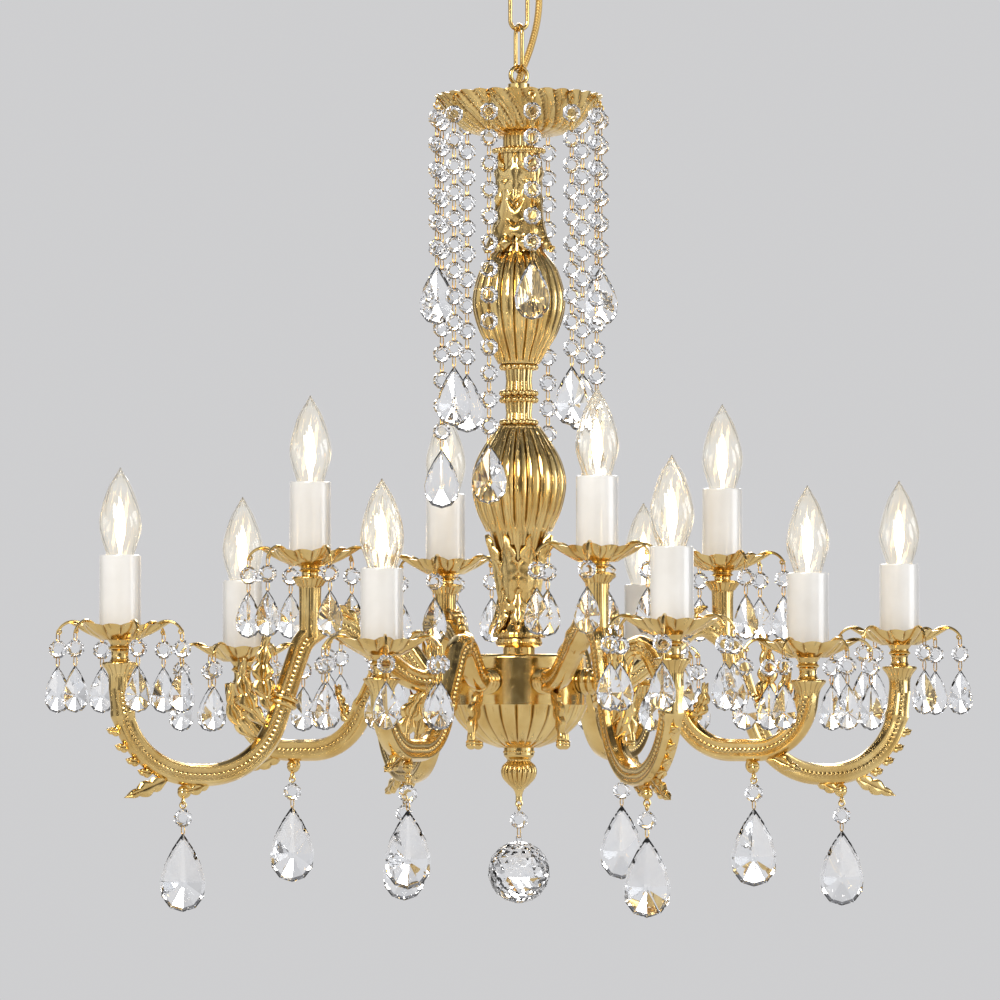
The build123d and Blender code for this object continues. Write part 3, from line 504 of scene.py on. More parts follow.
class Nodes:
    """Adds and joins the nodes of one tree, a material's or the world's."""

    def __init__(self, tree: bpy.types.NodeTree) -> None:
        """Takes up a tree."""
        self.tree = tree

    def put(self, end: Socket, what: Socket | float | tuple) -> None:
        """Joins a socket to an input, or gives the input a constant value.

        Args:
            end: the input.
            what: the socket or the value.
        """
        if isinstance(what, Socket):
            self.tree.links.new(what, end)
        else:
            end.default_value = what

    def add(self, kind: str, inputs: dict | None = None, **settings: str) -> bpy.types.Node:
        """Adds a node.

        Args:
            kind: the node's type.
            inputs: what goes into its inputs, a socket or a value, by input name or number.
            settings: the node's own settings, by name.

        Returns:
            The node.
        """
        node = self.tree.nodes.new(kind)
        for label, value in settings.items():
            setattr(node, label, value)
        for label, what in (inputs or {}).items():
            self.put(node.inputs[label], what)
        return node

    def math(self, operation: str, *terms: Socket | float) -> Socket:
        """The result of an operation on sockets and numbers."""
        return self.add("ShaderNodeMath", dict(enumerate(terms)), operation=operation).outputs[0]

    def ramp(self, level: Socket, low: tuple, high: tuple,
             start: float = NOISE_LOW, stop: float = NOISE_HIGH) -> Socket:
        """A colour that runs from low to high as a level goes from start to stop.

        Args:
            level: what is read.
            low: the colour up to start.
            high: the colour from stop on.
            start: the level where it starts.
            stop: the level where it stops.

        Returns:
            The colour.
        """
        node = self.add("ShaderNodeValToRGB", {"Fac": level})
        for element, position, colour in zip(node.color_ramp.elements, (start, stop), (low, high)):
            element.position = position
            element.color = (*colour, 1)
        return node.outputs["Color"]

    def blend(self, level: Socket, low: Socket, high: Socket | tuple, blend_type: str = "MIX") -> Socket:
        """A colour that goes over from low to high as a level goes from 0 to 1.

        Args:
            level: what is read.
            low: the first colour.
            high: the second colour.
            blend_type: how the second colour works on the first.

        Returns:
            The colour.
        """
        node = self.add("ShaderNodeMix", data_type="RGBA", blend_type=blend_type)
        for number, what in ((0, level), (6, low), (7, high)):
            self.put(node.inputs[number], what)
        return node.outputs[2]

    def either(self, level: Socket, first: Socket, second: Socket) -> Socket:
        """The first shader where a level is 0, the second where it is 1."""
        return self.add("ShaderNodeMixShader", {0: level, 1: first, 2: second}).outputs[0]


class Palette(Nodes):
    """The nodes round one material's principled shader."""

    def __init__(self, name: str) -> None:
        """Starts a material with its principled shader.

        Args:
            name: the material's name.
        """
        self.material = bpy.data.materials.new(name)
        self.material.use_nodes = True
        super().__init__(self.material.node_tree)
        self.shader = self.tree.nodes["Principled BSDF"]

    def noise(self, scale: float, detail: float = 3.0) -> Socket:
        """Cloudy noise on the piece's own place.

        Args:
            scale: how many clouds there are to a metre.
            detail: how many finer layers it has.

        Returns:
            The noise.
        """
        place = self.add("ShaderNodeTexCoord").outputs["Object"]
        inputs = {"Vector": place, "Scale": scale, "Detail": detail}
        return self.add("ShaderNodeTexNoise", inputs).outputs["Fac"]

    def between(self, level: Socket, low: float, high: float) -> Socket:
        """A number that runs from low to high as noise goes over its usual span.

        Args:
            level: the noise.
            low: the number where the span starts.
            high: the number where it ends.

        Returns:
            The number.
        """
        inputs = {"Value": level, "From Min": NOISE_LOW, "From Max": NOISE_HIGH, "To Min": low,
                  "To Max": high}
        return self.add("ShaderNodeMapRange", inputs).outputs["Result"]

    def bump(self, level: Socket, strength: float, depth: float) -> None:
        """Raises the shader's surface by a level, by so many millimetres."""
        inputs = {"Height": level, "Strength": strength, "Distance": depth * MM}
        self.feed("Normal", self.add("ShaderNodeBump", inputs).outputs["Normal"])

    def feed(self, label: str, socket: Socket) -> None:
        """Joins a socket to one of the shader's inputs."""
        self.put(self.shader.inputs[label], socket)

    def fix(self, **values: float | tuple) -> None:
        """Sets the shader's constant inputs.

        Args:
            values: the inputs' values, by name in lower case with underscores.
        """
        for label, value in values.items():
            words = label.replace("_", " ").title().replace("Ior", "IOR")
            self.put(self.shader.inputs[words], value)


@dataclass(frozen=True)
class Recipe:
    """A material whose colour, roughness and surface vary softly, each with noise of its own.

    Attributes:
        name: the material's name.
        low: its colour at one end of the noise.
        high: its colour at the other end.
        rough: its least and its most roughness.
        colour_noise: how many clouds to a metre the colour's noise has, and its detail.
        rough_noise: the same for the roughness.
        grain_noise: the same for the bump.
        grain: the bump's strength and its depth in millimetres.
        fixed: the shader's constant inputs.
    """

    name: str
    low: tuple
    high: tuple
    rough: tuple
    colour_noise: tuple = (25, 4)
    rough_noise: tuple = (90, 3)
    grain_noise: tuple = (300, 2)
    grain: tuple = (0.06, 0.3)
    fixed: dict = field(default_factory=dict)

    def tone(self, mix: Palette) -> Socket:
        """The material's colour."""
        return mix.ramp(mix.noise(*self.colour_noise), self.low, self.high)

    def build(self) -> Material:
        """Makes the material.

        Returns:
            The material.
        """
        mix = Palette(self.name)
        mix.feed("Base Color", self.tone(mix))
        mix.feed("Roughness", mix.between(mix.noise(*self.rough_noise), *self.rough))
        mix.bump(mix.noise(*self.grain_noise), *self.grain)
        mix.fix(**self.fixed)
        return mix.material


@dataclass(frozen=True)
class Gilding(Recipe):
    """Polished gold plate on cast brass, darker in its grooves: partly a patina, partly painted shade."""

    # the colour in the grooves: a dark patina deepened by painted shade
    groove: tuple = (0.24, 0.13, 0.04)

    def tone(self, mix: Palette) -> Socket:
        """The plate's colour, gone over to the groove's where the mesh is hollow, as patina and painted
        shade.
        """
        # the hollow mask places painted shade, with the patina, in grooves and recesses
        hollow = mix.add("ShaderNodeAttribute", attribute_name="hollow").outputs["Fac"]
        return mix.blend(hollow, super().tone(mix), (*self.groove, 1))


@dataclass(frozen=True)
class Glow:
    """The lit thread inside a lamp, brighter in some places than in others."""

    name: str = "lamp_glow"
    deep: tuple = (1.0, 0.72, 0.38)
    pale: tuple = (1.0, 0.86, 0.58)
    strength: float = 9.0

    def build(self) -> Material:
        """Makes the material.

        Returns:
            The material.
        """
        mix = Palette(self.name)
        mix.feed("Emission Color", mix.ramp(mix.noise(300), self.deep, self.pale))
        mix.fix(base_color=(0.9, 0.6, 0.3, 1), roughness=0.6, emission_strength=self.strength)
        return mix.material


@dataclass(frozen=True)
class Braid:
    """Golden braid over a lamp cable, with fine slanting ribs."""

    name: str = "cable_braid"
    ribs: float = 260.0
    deep: tuple = (0.55, 0.33, 0.08)
    pale: tuple = (0.90, 0.64, 0.24)
    rough: tuple = (0.35, 0.5)

    def build(self) -> Material:
        """Makes the material.

        Returns:
            The material.
        """
        mix = Palette(self.name)
        place = mix.add("ShaderNodeTexCoord").outputs["Object"]
        inputs = {"Vector": place, "Scale": self.ribs, "Distortion": 1.5}
        weave = mix.add("ShaderNodeTexWave", inputs, bands_direction="DIAGONAL").outputs["Fac"]
        mix.feed("Base Color", mix.ramp(weave, self.deep, self.pale))
        mix.feed("Roughness", mix.between(mix.noise(400), *self.rough))
        mix.bump(weave, 0.5, 0.4)
        mix.fix(metallic=0.6)
        return mix.material


def coating(name: str, low: tuple, high: tuple, rough: tuple, metal: float = 0.0,
            coat: float = 0.0) -> Recipe:
    """A plain colour that varies softly, under a coat that may be glossy.

    Args:
        name: the material's name.
        low: its darker colour.
        high: its paler colour.
        rough: its least and its most roughness.
        metal: 1 for bare metal.
        coat: how much of a clear coat it has.

    Returns:
        The recipe.
    """
    fixed = {"metallic": metal, "coat_weight": coat, "coat_roughness": 0.08}
    return Recipe(name, low, high, rough, fixed=fixed)


@dataclass(frozen=True)
class Finishes:
    """One of each material."""

    gold: Material
    crystal: Material
    glass: Material
    glow: Material
    candle: Material
    cap: Material
    holder: Material
    cable: Material
    steel: Material

    @classmethod
    def mixed(cls) -> "Finishes":
        """Makes every material once.

        Returns:
            The set of materials.
        """
        clear = {"transmission_weight": 1.0}
        lit = {"emission_color": (1.0, 0.86, 0.62, 1), "emission_strength": 0.02}
        recipes = [
            Gilding("gilt_brass", (0.70, 0.46, 0.15), (0.90, 0.68, 0.30), rough=(0.10, 0.24),
                    colour_noise=(38, 3), rough_noise=(160, 3), grain_noise=(620, 2),
                    grain=(0.12, 0.25), fixed={"metallic": 1.0}),
            Recipe("cut_crystal", (0.95, 0.97, 1.0), (1.0, 1.0, 1.0), rough=(0.0, 0.025),
                   colour_noise=(90, 3), rough_noise=(210, 3), grain_noise=(55, 1),
                   grain=(0.03, 0.3), fixed={**clear, "ior": 1.62}),
            Recipe("lamp_glass", (1.0, 0.96, 0.88), (1.0, 1.0, 0.98), rough=(0.0, 0.06),
                   colour_noise=(60, 3), rough_noise=(120, 3), grain_noise=(80, 1),
                   grain=(0.05, 0.3), fixed={**clear, "ior": 1.45, **lit}),
            Glow(),
            coating("candle_white", (0.80, 0.78, 0.73), (0.90, 0.89, 0.85), (0.12, 0.26), coat=0.6),
            coating("nickel_cap", (0.55, 0.52, 0.47), (0.78, 0.75, 0.70), (0.18, 0.35), metal=1.0),
            coating("cream_plastic", (0.78, 0.74, 0.64), (0.86, 0.82, 0.73), (0.35, 0.5)),
            Braid(),
            coating("zinc_steel", (0.42, 0.43, 0.44), (0.62, 0.63, 0.64), (0.3, 0.5), metal=1.0),
        ]
        return cls(*[recipe.build() for recipe in recipes])


def beaded_ring(radius: float, bead: float, z: float, count: int) -> Shape:
    """A ring of touching beads: a tube whose radius swells as sqrt(|sin(count a / 2)|) round the ring.

    Args:
        radius: the ring's radius to the beads' middles.
        bead: the beads' radius.
        z: the ring's level.
        count: how many beads go round.

    Returns:
        The closed ring.
    """
    a, b = round_angles(count * BEAD_COLUMNS)[:, None], round_angles(BEAD_ROWS)[None]
    tube = bead * (0.35 + 0.65 * np.sqrt(np.abs(np.sin(count * a / 2))))
    r = radius + tube * np.cos(b)
    return grid(np.stack([r * np.cos(a), r * np.sin(a), z + tube * np.sin(b)], axis=-1), loop=True)


def stepped(knots: list[tuple], step: float = 1.2) -> np.ndarray:
    """A turned profile of straight runs between (r, z) knots, with points at even steps.

    Args:
        knots: the profile's corners.
        step: the spacing of the points.

    Returns:
        The profile's points, its corners among them.
    """
    k = np.array(knots, float)
    run = run_along(k)
    return resampled(k, run, np.union1d(np.arange(0, run[-1], step), run))


@dataclass
class Column:
    """The castings stacked on the centre rod, from the top bowl to the finial."""

    finish: Finishes
    columns: int = 240
    bore_r: float = 6.3
    rim_z: float = -152.0
    rim_r: float = 69.5
    bowl_foot_z: float = -185.5
    bowl_foot_r: float = 21.0
    bowl_wall: float = 2.2
    floor_r: float = 14.0
    bowl_lobes: int = 30
    bowl_twist: float = 0.55
    bowl_wave: float = 1.3
    lobe_depth: float = 3.4
    lobe_gain: float = 1.6
    rim_power: int = 4
    wave_middle: float = 0.6
    collar_z: float = -199.5
    leaf_end_z: float = -281.0
    upper_end_z: float = -372.5
    knop_end_z: float = -423.0
    lower_end_z: float = -510.0
    stem_end_z: float = -597.0
    base_end_z: float = -611.0
    hub_end_z: float = -652.0
    lower_foot_z: float = -687.0
    lower_lobes: int = 24
    finial_end_z: float = -730.0
    column_leaves: int = 6
    stem_leaves: int = 8
    flutes: int = 20
    flute_depth: float = 2.6
    flute_gain: float = 9.0
    flute_least: float = 0.12
    bead_pitch: float = 2.1
    urn_rows: int = 90
    rib_at: float = 20.0
    rib_span: float = 11.0
    rib_gain: float = 1.2

    def gold(self, name: str, *shapes: Shape) -> None:
        """Makes one gilt piece that stands for the solid of the same name."""
        piece(name + "_cast", joined(shapes), MAIN_BODY, [name], self.finish.gold)

    def dish(self, foot: float, outer: list[tuple], inner: list[tuple], counts: tuple[int, int],
             lobes: int, twist: float = 0.0, wave: float = 0.0) -> Shape:
        """A gadrooned dish: its wall is turned from two lines, and its rim rises and falls by lobe.

        Args:
            foot: the level of its flat floor.
            outer: the outside's (r, z) knots, from foot to rim.
            inner: the inside's (r, z) knots, from rim to foot.
            counts: how many points the two lines get.
            lobes: how many gadroons go round.
            twist: how far they swirl, in degrees for each millimetre.
            wave: how far the rim rises and falls.

        Returns:
            The closed dish.
        """
        floor = [(self.bore_r, foot), (self.floor_r, foot)]
        outside = np.concatenate([floor, flowing(outer, counts[0])])
        inside = [*inner, (self.bore_r, foot + self.bowl_wall)]
        profile = np.concatenate([outside, flowing(inside, counts[1])])
        reach = np.abs(profile[:, 0] - self.bore_r) / np.ptp(outside[:, 0])
        fade = np.clip(reach * self.lobe_gain, 0, 1)
        shape = lathe(profile, self.columns, lobes, self.lobe_depth, twist, loop=True, fade=fade)
        x, y, z = shape.points.T
        rim = np.clip(np.abs(z - foot) / np.ptp(outside[:, 1]), 0, 1) ** self.rim_power
        angle = np.arctan2(y, x) + np.radians(twist) * (z - foot)
        shape.points[:, 2] += wave * rim * (np.abs(np.cos(lobes / 2 * angle)) - self.wave_middle)
        return shape

    def top_bowl(self) -> None:
        """Makes the swirled dish that carries the strands' eyes under its rim."""
        foot, rim = self.bowl_foot_z, self.rim_z
        outer = [(self.bowl_foot_r, foot), (43, foot + 5), (57.5, foot + 18), (self.rim_r, rim)]
        inner = [(self.rim_r - 1.8, rim), (54.5, foot + 19.5), (41, foot + 7.2),
                 (20, foot + self.bowl_wall)]
        bowl = self.dish(foot, outer, inner, (40, 40), self.bowl_lobes, self.bowl_twist, self.bowl_wave)
        turns = [STRAND_PHASE + 360 * i / STRAND_COUNT for i in range(STRAND_COUNT)]
        eyes = [torus(EYE_R, EYE_WIRE, (*polar(1, turn + 90), 0), (*polar(STRAND_R, turn), STRAND_EYE_Z))
                for turn in turns]
        self.gold("top_bowl", bowl, *eyes)

    def leaf_column(self) -> None:
        """Makes the slender drum under the bowl, clad in two rings of hanging leaves."""
        bowl, top, low = self.bowl_foot_z, self.collar_z, self.leaf_end_z
        core = stepped([(13, bowl), (13, bowl - 8), (20, bowl - 9.5), (21.3, bowl - 11), (20.5, top),
                        (16.5, top), (15.5, top - 30), (18.5, low + 12), (20.5, low)])
        line = flowing([(16.6, top + 2), (19.4, top - 12), (18.6, top - 28), (21, top - 42)], 64)
        short = leaf(line, 19, 4, 2.4, -3.4, 0.85)
        line = flowing([(16, top - 14), (18.2, top - 40), (20.5, top - 60), (26, low + 7),
                        (30.5, low + 4)], 80)
        long = leaf(line, 22, 5, 2.6, -4.0, 0.85)
        count = self.column_leaves
        self.gold("leaf_column", lathe(core, ROUND, 16, 0.9), short.around(count),
                  long.around(count, 180 / count), beaded_ring(20.4, 2.0, bowl - 11.5, 30))

    def urn(self, name: str, knots: list[tuple], belts: list[tuple]) -> None:
        """Makes a fluted urn: a smooth turned outline whose flutes fade out at both ends.

        Args:
            name: the solid that it stands for.
            knots: the (r, z) points of its outline.
            belts: the (radius, z, bead radius) of its bead rings.
        """
        profile = flowing(knots, self.urn_rows)
        s = np.linspace(0, 1, len(profile))
        fade = np.clip(np.minimum(s, 1 - s) * self.flute_gain, self.flute_least, 1)
        rings = [beaded_ring(r, bead, z, int(2 * np.pi * r / (self.bead_pitch * bead)))
                 for r, z, bead in belts]
        self.gold(name, lathe(profile, self.columns, self.flutes, self.flute_depth, fade=fade), *rings)

    def urns(self) -> None:
        """Makes both urns."""
        top, low = self.leaf_end_z, self.upper_end_z
        knots = [(22, top), (32.5, top - 15), (38.3, top - 40), (33, low + 28), (22.5, low + 10),
                 (17, low)]
        self.urn("upper_urn", knots, [(21.4, top - 2, 1.6)])
        top, low = self.knop_end_z, self.lower_end_z
        knots = [(17, top), (27, top - 14), (35.5, top - 30), (39, top - 48), (35, low + 18), (27, low)]
        self.urn("lower_urn", knots, [(17.2, top - 2, 1.4), (26.2, low + 2, 1.6)])

    def knop(self) -> None:
        """Makes the fluted neck between the urns with its bead rings."""
        top, low = self.upper_end_z, self.knop_end_z
        neck = stepped([(11.9, top), (10.6, top - 14), (11.9, top - 27), (10.6, low + 10), (11.9, low)])
        rings = [beaded_ring(13.9, 2.6, z, 16) for z in (top - 2.5, top - 24, top - 29.5, low + 2.5)]
        self.gold("middle_knop", lathe(neck, ROUND, 12, 1.4), *rings)

    def leaf_stem(self) -> None:
        """Makes the foot of the lower urn, with leaves that stand up to it and leaves that hang."""
        top, low = self.lower_end_z, self.stem_end_z
        core = flowing([(24, top), (18.4, top - 20), (14.4, top - 45), (15.4, top - 70), (21.5, low + 4),
                        (21.5, low)], 60)
        line = flowing([(14.5, top - 64), (18.5, top - 44), (22.5, top - 22), (29, top - 3)], 52)
        rising = leaf(line, 17, 5, 2.4, 3.0)
        line = flowing([(13.5, top - 40), (17, top - 56), (20, top - 70), (25.5, low + 4)], 44)
        hanging = leaf(line, 14, 4, 2.2, -2.4)
        count = self.stem_leaves
        self.gold("leaf_stem", lathe(core, ROUND, 16, 0.8), rising.around(count),
                  hanging.around(count, 180 / count))

    def base(self) -> None:
        """Makes the base ring and the lower bowl."""
        top, foot, rim = self.stem_end_z, self.lower_foot_z, self.hub_end_z
        ring = stepped([(17, top), (18.6, top - 1), (19, top - 3.5), (18.4, top - 6.5), (13, top - 8),
                        (13, self.base_end_z)], 0.6)
        self.gold("base_ring", lathe(ring, ROUND), beaded_ring(17.6, 1.7, top - 4, 30))
        outer = [(17, foot), (34, foot + 7), (49.6, rim - 14), (56.6, rim)]
        inner = [(54.6, rim), (47, rim - 13.5), (31, foot + 9), (14, foot + self.bowl_wall)]
        self.gold("lower_bowl", self.dish(foot, outer, inner, (40, 36), self.lower_lobes))

    def finial(self) -> None:
        """Makes the ribbed drop under the lower bowl with the eye for the ball."""
        top, end = self.lower_foot_z, self.finial_end_z
        neck = stepped([(12.5, top), (12.5, top - 6)], 0.8)
        body = flowing([(12.0, top - 7), (9.6, top - 10.5), (13.4, top - 14.5), (14.8, top - 19.5),
                        (13.2, top - 25), (8.8, top - 30), (4.4, top - 34.5), (2.8, end + 4),
                        (2.8, end)], 64)
        drop = np.concatenate([neck, body])
        ribbed = np.clip(self.rib_gain - np.abs(drop[:, 1] - top + self.rib_at) / self.rib_span, 0, 1)
        eye = torus(EYE_R, EYE_WIRE, (1, 0, 0), (0, 0, end - EYE_R))
        self.gold("finial", lathe(drop, 160, self.flutes, 1.5, fade=ribbed),
                  beaded_ring(11.6, 1.5, top - 3.5, 24), eye)

    def build(self) -> None:
        """Makes every casting of the column and dresses the plain ones."""
        self.top_bowl()
        self.leaf_column()
        self.urns()
        self.knop()
        self.leaf_stem()
        self.base()
        self.finial()
        for node in ("hub_drum", "hub_nut", "centre_rod", "suspension_eye"):
            dress(node, self.finish.gold)


def turned_knob(x: float, z: float, radius: float) -> Shape:
    """A ball knob: r = radius * cos(latitude), with a groove round its middle.

    Args:
        x: its distance from the axis.
        z: its level.
        radius: its radius.

    Returns:
        The closed knob.
    """
    latitude = np.linspace(-np.pi / 2 + 0.05, np.pi / 2 - 0.05, 25)
    r = radius * np.cos(latitude) * (1 - 0.12 * hump(latitude, 0.16))
    return lathe(np.stack([r, radius * np.sin(latitude)], axis=-1), 32).moved(x, 0, z)


@dataclass
class Arms:
    """Four double arms, each an inner and an outer casting, and four single ones between them."""

    finish: Finishes
    arm_r: float = 9.0
    step: float = 1.0
    bead_step: float = 4.0
    bar_sides: int = 48
    ring_sides: int = 32
    collar_sides: int = 40
    scroll_sides: int = 12
    hub_r: float = 55.0
    seat_r: float = 40.0
    root_r: float = 9.5
    root_inset: float = 0.6
    root_run: float = 22.0
    root_rows: int = 60
    root_z: float = -633.0
    collar_r: float = 203.0
    collar_z: float = -649.0
    collar_run: float = 6.5
    collar_rows: int = 22
    collar_mid: float = 2.4
    collar_half: float = 2.5
    collar_rod_r: float = 9.2
    collar_rise: float = 3.3
    lean: float = 0.347
    hump_z: float = -582.0
    double_low_z: float = -709.0
    single_hump_z: float = -594.0
    single_low_z: float = -689.0
    outer_r: float = 340.0
    inner_r: float = 180.0
    single_r: float = 255.0
    outer_pan_z: float = -601.0
    inner_pan_z: float = -540.0
    single_pan_z: float = -615.0
    cup_h: float = 20.0
    inner_cup_h: float = 11.0
    cup_lobes: int = 16
    cup_lobe_depth: float = 0.9
    channel_depth: float = 2.4
    channel_width: float = 0.5
    lip_rise: float = 0.7
    lip_at: float = 0.78
    lip_width: float = 0.14
    bead_rise: float = 1.3
    bead_width: float = 0.16
    root_rings: tuple = (59.5, 65.5, 72.0)
    ring_rise: float = 2.0
    ring_width: float = 1.7
    knob_r: float = 6.0
    knob_share: float = 0.8
    knob_scroll: tuple = (6.2, 1.1, 80, 2.4)
    eye_lap: float = 0.6
    scroll_shrink: float = 0.75
    scroll_taper: float = 0.45
    scroll_rows: int = 60
    leaf_t: float = 6.0
    tooth_rows: int = 16
    fan_share: float = 0.7
    fan_t: float = 2.2
    fan_cup: float = 1.5
    fan: tuple = (-28, 28)
    thorn_spots: tuple = ((-30, 3), (-20, 12), (-11, 23), (-4, 36))
    single_setback: float = 7.0

    def bar(self, corners: list[tuple], radii: list[float], swells: list[tuple]) -> Shape:
        """A moulded arm: round, with a channel and a row of beads down each side, and rings.

        The radius is arm_r less a flat channel with raised lips at each side, whose widths are angles in
        radians, plus beads that swell as sqrt(|sin|) along the channel's middle, plus each ring's hump.

        Args:
            corners: the line's (r, z) corners.
            radii: the bend at each inner corner.
            swells: (where along it from 0 to 1, how far it swells, over what length).

        Returns:
            The closed bar.
        """
        line = rounded_line(corners, radii, self.step)
        angle = round_angles(self.bar_sides)
        s = np.arange(len(line))[:, None] * self.step
        side = np.minimum(np.abs(angle - np.pi / 2), np.abs(angle - 3 * np.pi / 2))
        channel = self.channel_depth * hump(side, self.channel_width, 4)
        lips = self.lip_rise * hump(side - self.lip_at, self.lip_width)
        swelling = np.sqrt(np.abs(np.sin(np.pi * s / self.bead_step)))
        beads = self.bead_rise * hump(side, self.bead_width) * swelling
        rings = sum(rise * hump(s - at * s[-1], length) for at, rise, length in swells)
        return along(line, self.arm_r + rings - (channel - lips) + beads)

    def root(self) -> Shape:
        """The ringed tenon that seats in the hub: a plain rod with three rounded rings.

        Returns:
            The closed tenon.
        """
        out = np.linspace(self.seat_r, self.hub_r + self.root_run, self.root_rows)[:, None]
        line = np.concatenate([out, np.full_like(out, self.root_z)], axis=1)
        rings = sum(self.ring_rise * hump(out - at, self.ring_width) for at in self.root_rings)
        return along(line, self.root_r - self.root_inset + rings + np.zeros(self.ring_sides))

    def cup(self, radius: float, pan_z: float, height: float, start_z: float) -> Shape:
        """The stem, flange and neck that carry a drip pan, turned with rounded steps.

        Args:
            radius: the cup's distance from the axis.
            pan_z: the pan's level.
            height: how far the flange lies under the pan.
            start_z: where the stem starts.

        Returns:
            The closed cup.
        """
        flange = pan_z - height
        horn = flowing([(self.arm_r, start_z), (self.arm_r, flange - 10), (10.6, flange - 5),
                        (14.3, flange)], 30)
        lip = flowing([(14.5, flange + 0.3), (14.6, flange + 1.2), (14.0, flange + 2.2)], 8)
        neck = flowing([(8.6, flange + 3), (7.0, flange + 0.3 * height), (7.2, pan_z - 0.45 * height),
                        (9.3, pan_z - 0.34 * height), (7.6, pan_z - 0.2 * height), (10, pan_z)], 24)
        profile = np.concatenate([horn, lip, neck])
        fade = np.concatenate([np.linspace(0, 1, len(horn)), np.full(len(lip), 0.3), np.zeros(len(neck))])
        return lathe(profile, ROUND, self.cup_lobes, self.cup_lobe_depth, fade=fade).moved(radius, 0, 0)

    def collar(self, sign: float) -> Shape:
        """Half of the ring moulding where the two castings of a double arm meet.

        Args:
            sign: 1 for the outer casting's half, -1 for the inner one's.

        Returns:
            The closed half, a rod with a ring whose section is half an ellipse.
        """
        way = np.array([self.lean, -1]) / math.hypot(self.lean, 1) * sign
        out = np.linspace(0, self.collar_run, self.collar_rows)[:, None]
        line = np.array([self.collar_r, self.collar_z]) + out * way
        off = (out - self.collar_mid) / self.collar_half
        radius = self.collar_rod_r + self.collar_rise * np.sqrt(np.clip(1 - off ** 2, 0, 1))
        return along(line, radius + np.zeros(self.collar_sides))

    def drop_knob(self, spot: tuple) -> Shape:
        """The scroll knob under an arm with the eye that carries its drop.

        Args:
            spot: the knob's (r, z).

        Returns:
            The knob, its scroll and its eye as one shape.
        """
        x, z = spot
        neck = self.scroll(spot, *self.knob_scroll)
        eye = torus(EYE_R, EYE_WIRE, (0, 1, 0), (x, 0, z - self.knob_r - EYE_R + self.eye_lap))
        return joined([turned_knob(x, z, self.knob_share * self.knob_r), neck, eye])

    def spray(self, leaves: list[tuple], fans: tuple = ()) -> Shape:
        """Acanthus leaves in the arm's plane, with narrower copies that fan to both sides of it.

        Args:
            leaves: (start, middle, end, width, teeth) of each leaf.
            fans: how far, in degrees, the side copies lean out about the leaf's own rise.

        Returns:
            The leaves as one shape.
        """
        made = []
        for start, middle, end, width, teeth in leaves:
            spine = arc(start, middle, end, self.tooth_rows * teeth + 1)
            made.append(leaf(spine, width, teeth, self.leaf_t, upright=True))
            rise = (middle[0] - start[0], 0, middle[1] - start[1])
            side = leaf(spine, self.fan_share * width, teeth, self.fan_t, self.fan_cup)
            made += [side.spun(degrees, (start[0], 0, start[1]), rise) for degrees in fans]
        return joined(made)

    def tail(self, setback: float) -> Shape:
        """The leaf that hangs from an arm's root, with a bud at its tip."""
        blade = self.spray([((79 - setback, -638), (94 - setback, -660), (98.5 - setback, -688), 16, 4)])
        return joined([blade, turned_knob(98.5 - setback, -684, 4.6)])

    def scroll(self, centre: tuple, outer: float, turns: float, start: float, wire: float) -> Shape:
        """A C-scroll: a bar on a spiral whose radius shrinks evenly as it turns.

        Args:
            centre: the spiral's middle as (r, z).
            outer: its outer radius.
            turns: how many turns it makes.
            start: the direction where it starts, in degrees.
            wire: the bar's radius at the start.

        Returns:
            The closed bar.
        """
        a = np.linspace(0, 2 * np.pi * turns, self.scroll_rows)
        r = outer * (1 - self.scroll_shrink * a / a[-1])
        angle = math.radians(start) + a
        line = np.array(centre) + r[:, None] * np.stack([np.cos(angle), np.sin(angle)], axis=-1)
        taper = (1 - self.scroll_taper * a / a[-1])[:, None]
        return along(line, wire * taper + np.zeros(self.scroll_sides))

    def inner_arm(self) -> Shape:
        """The casting from the hub over its hump to the collar, with the inner candle's cup.

        Returns:
            Its shapes as one.
        """
        fall = self.lean * (self.collar_z - self.hump_z + 18)
        corners = [(self.hub_r + 10, self.root_z), (92, self.root_z), (160, self.hump_z),
                   (self.collar_r + fall, self.hump_z - 18), (self.collar_r, self.collar_z)]
        tube = self.bar(corners, [40, 20, 28], [(0.06, 1.6, 5), (0.42, 1.4, 6)])
        cup = self.cup(self.inner_r, self.inner_pan_z, self.inner_cup_h, self.hump_z - 16)
        over = self.spray([((136, -596), (148, -580), (166, -571), 11, 4)], (-30, 30))
        return joined([self.root(), tube, cup, self.collar(-1), over, self.tail(0.0)])

    def outer_arm(self) -> Shape:
        """The casting from the collar round the bend to the outer candle, with crest and spurs.

        Returns:
            Its shapes as one.
        """
        fall = self.lean * (self.collar_z - self.double_low_z)
        low, flange = self.double_low_z, self.outer_pan_z - self.cup_h
        corners = [(self.collar_r, self.collar_z), (self.collar_r + fall, low), (self.outer_r - 8, low),
                   (self.outer_r, flange - 18)]
        tube = self.bar(corners, [62, 62], [(0.9, 1.2, 4)])
        cup = self.cup(self.outer_r, self.outer_pan_z, self.cup_h, flange - 20)
        crest = self.spray([((209, -664), (220, -630), (214, -592), 16, 5),
                            ((214, -672), (233, -648), (236, -614), 14, 4),
                            ((220, -682), (243, -662), (247, -634), 11, 3)], self.fan)
        curl = self.scroll((240, -652), 8, 1.3, 230, 2.6)
        spurs = self.spray([((296, -710), (316, -719), (336, -727), 12, 3),
                            ((262, -710), (274, -719), (290, -722), 9, 3),
                            *self.thorns(self.outer_r, low)])
        return joined([tube, cup, self.collar(1), crest, curl, spurs, self.drop_knob(DOUBLE_KNOB)])

    def thorns(self, radius: float, low: float) -> list[tuple]:
        """The small leaves on the outer side of the last bend, as (start, middle, end, width, teeth)."""
        spots = [(radius + r, low + z) for r, z in self.thorn_spots]
        return [((x, z), (x + 7, z - 1), (x + 15, z + 1), 7, 2) for x, z in spots]

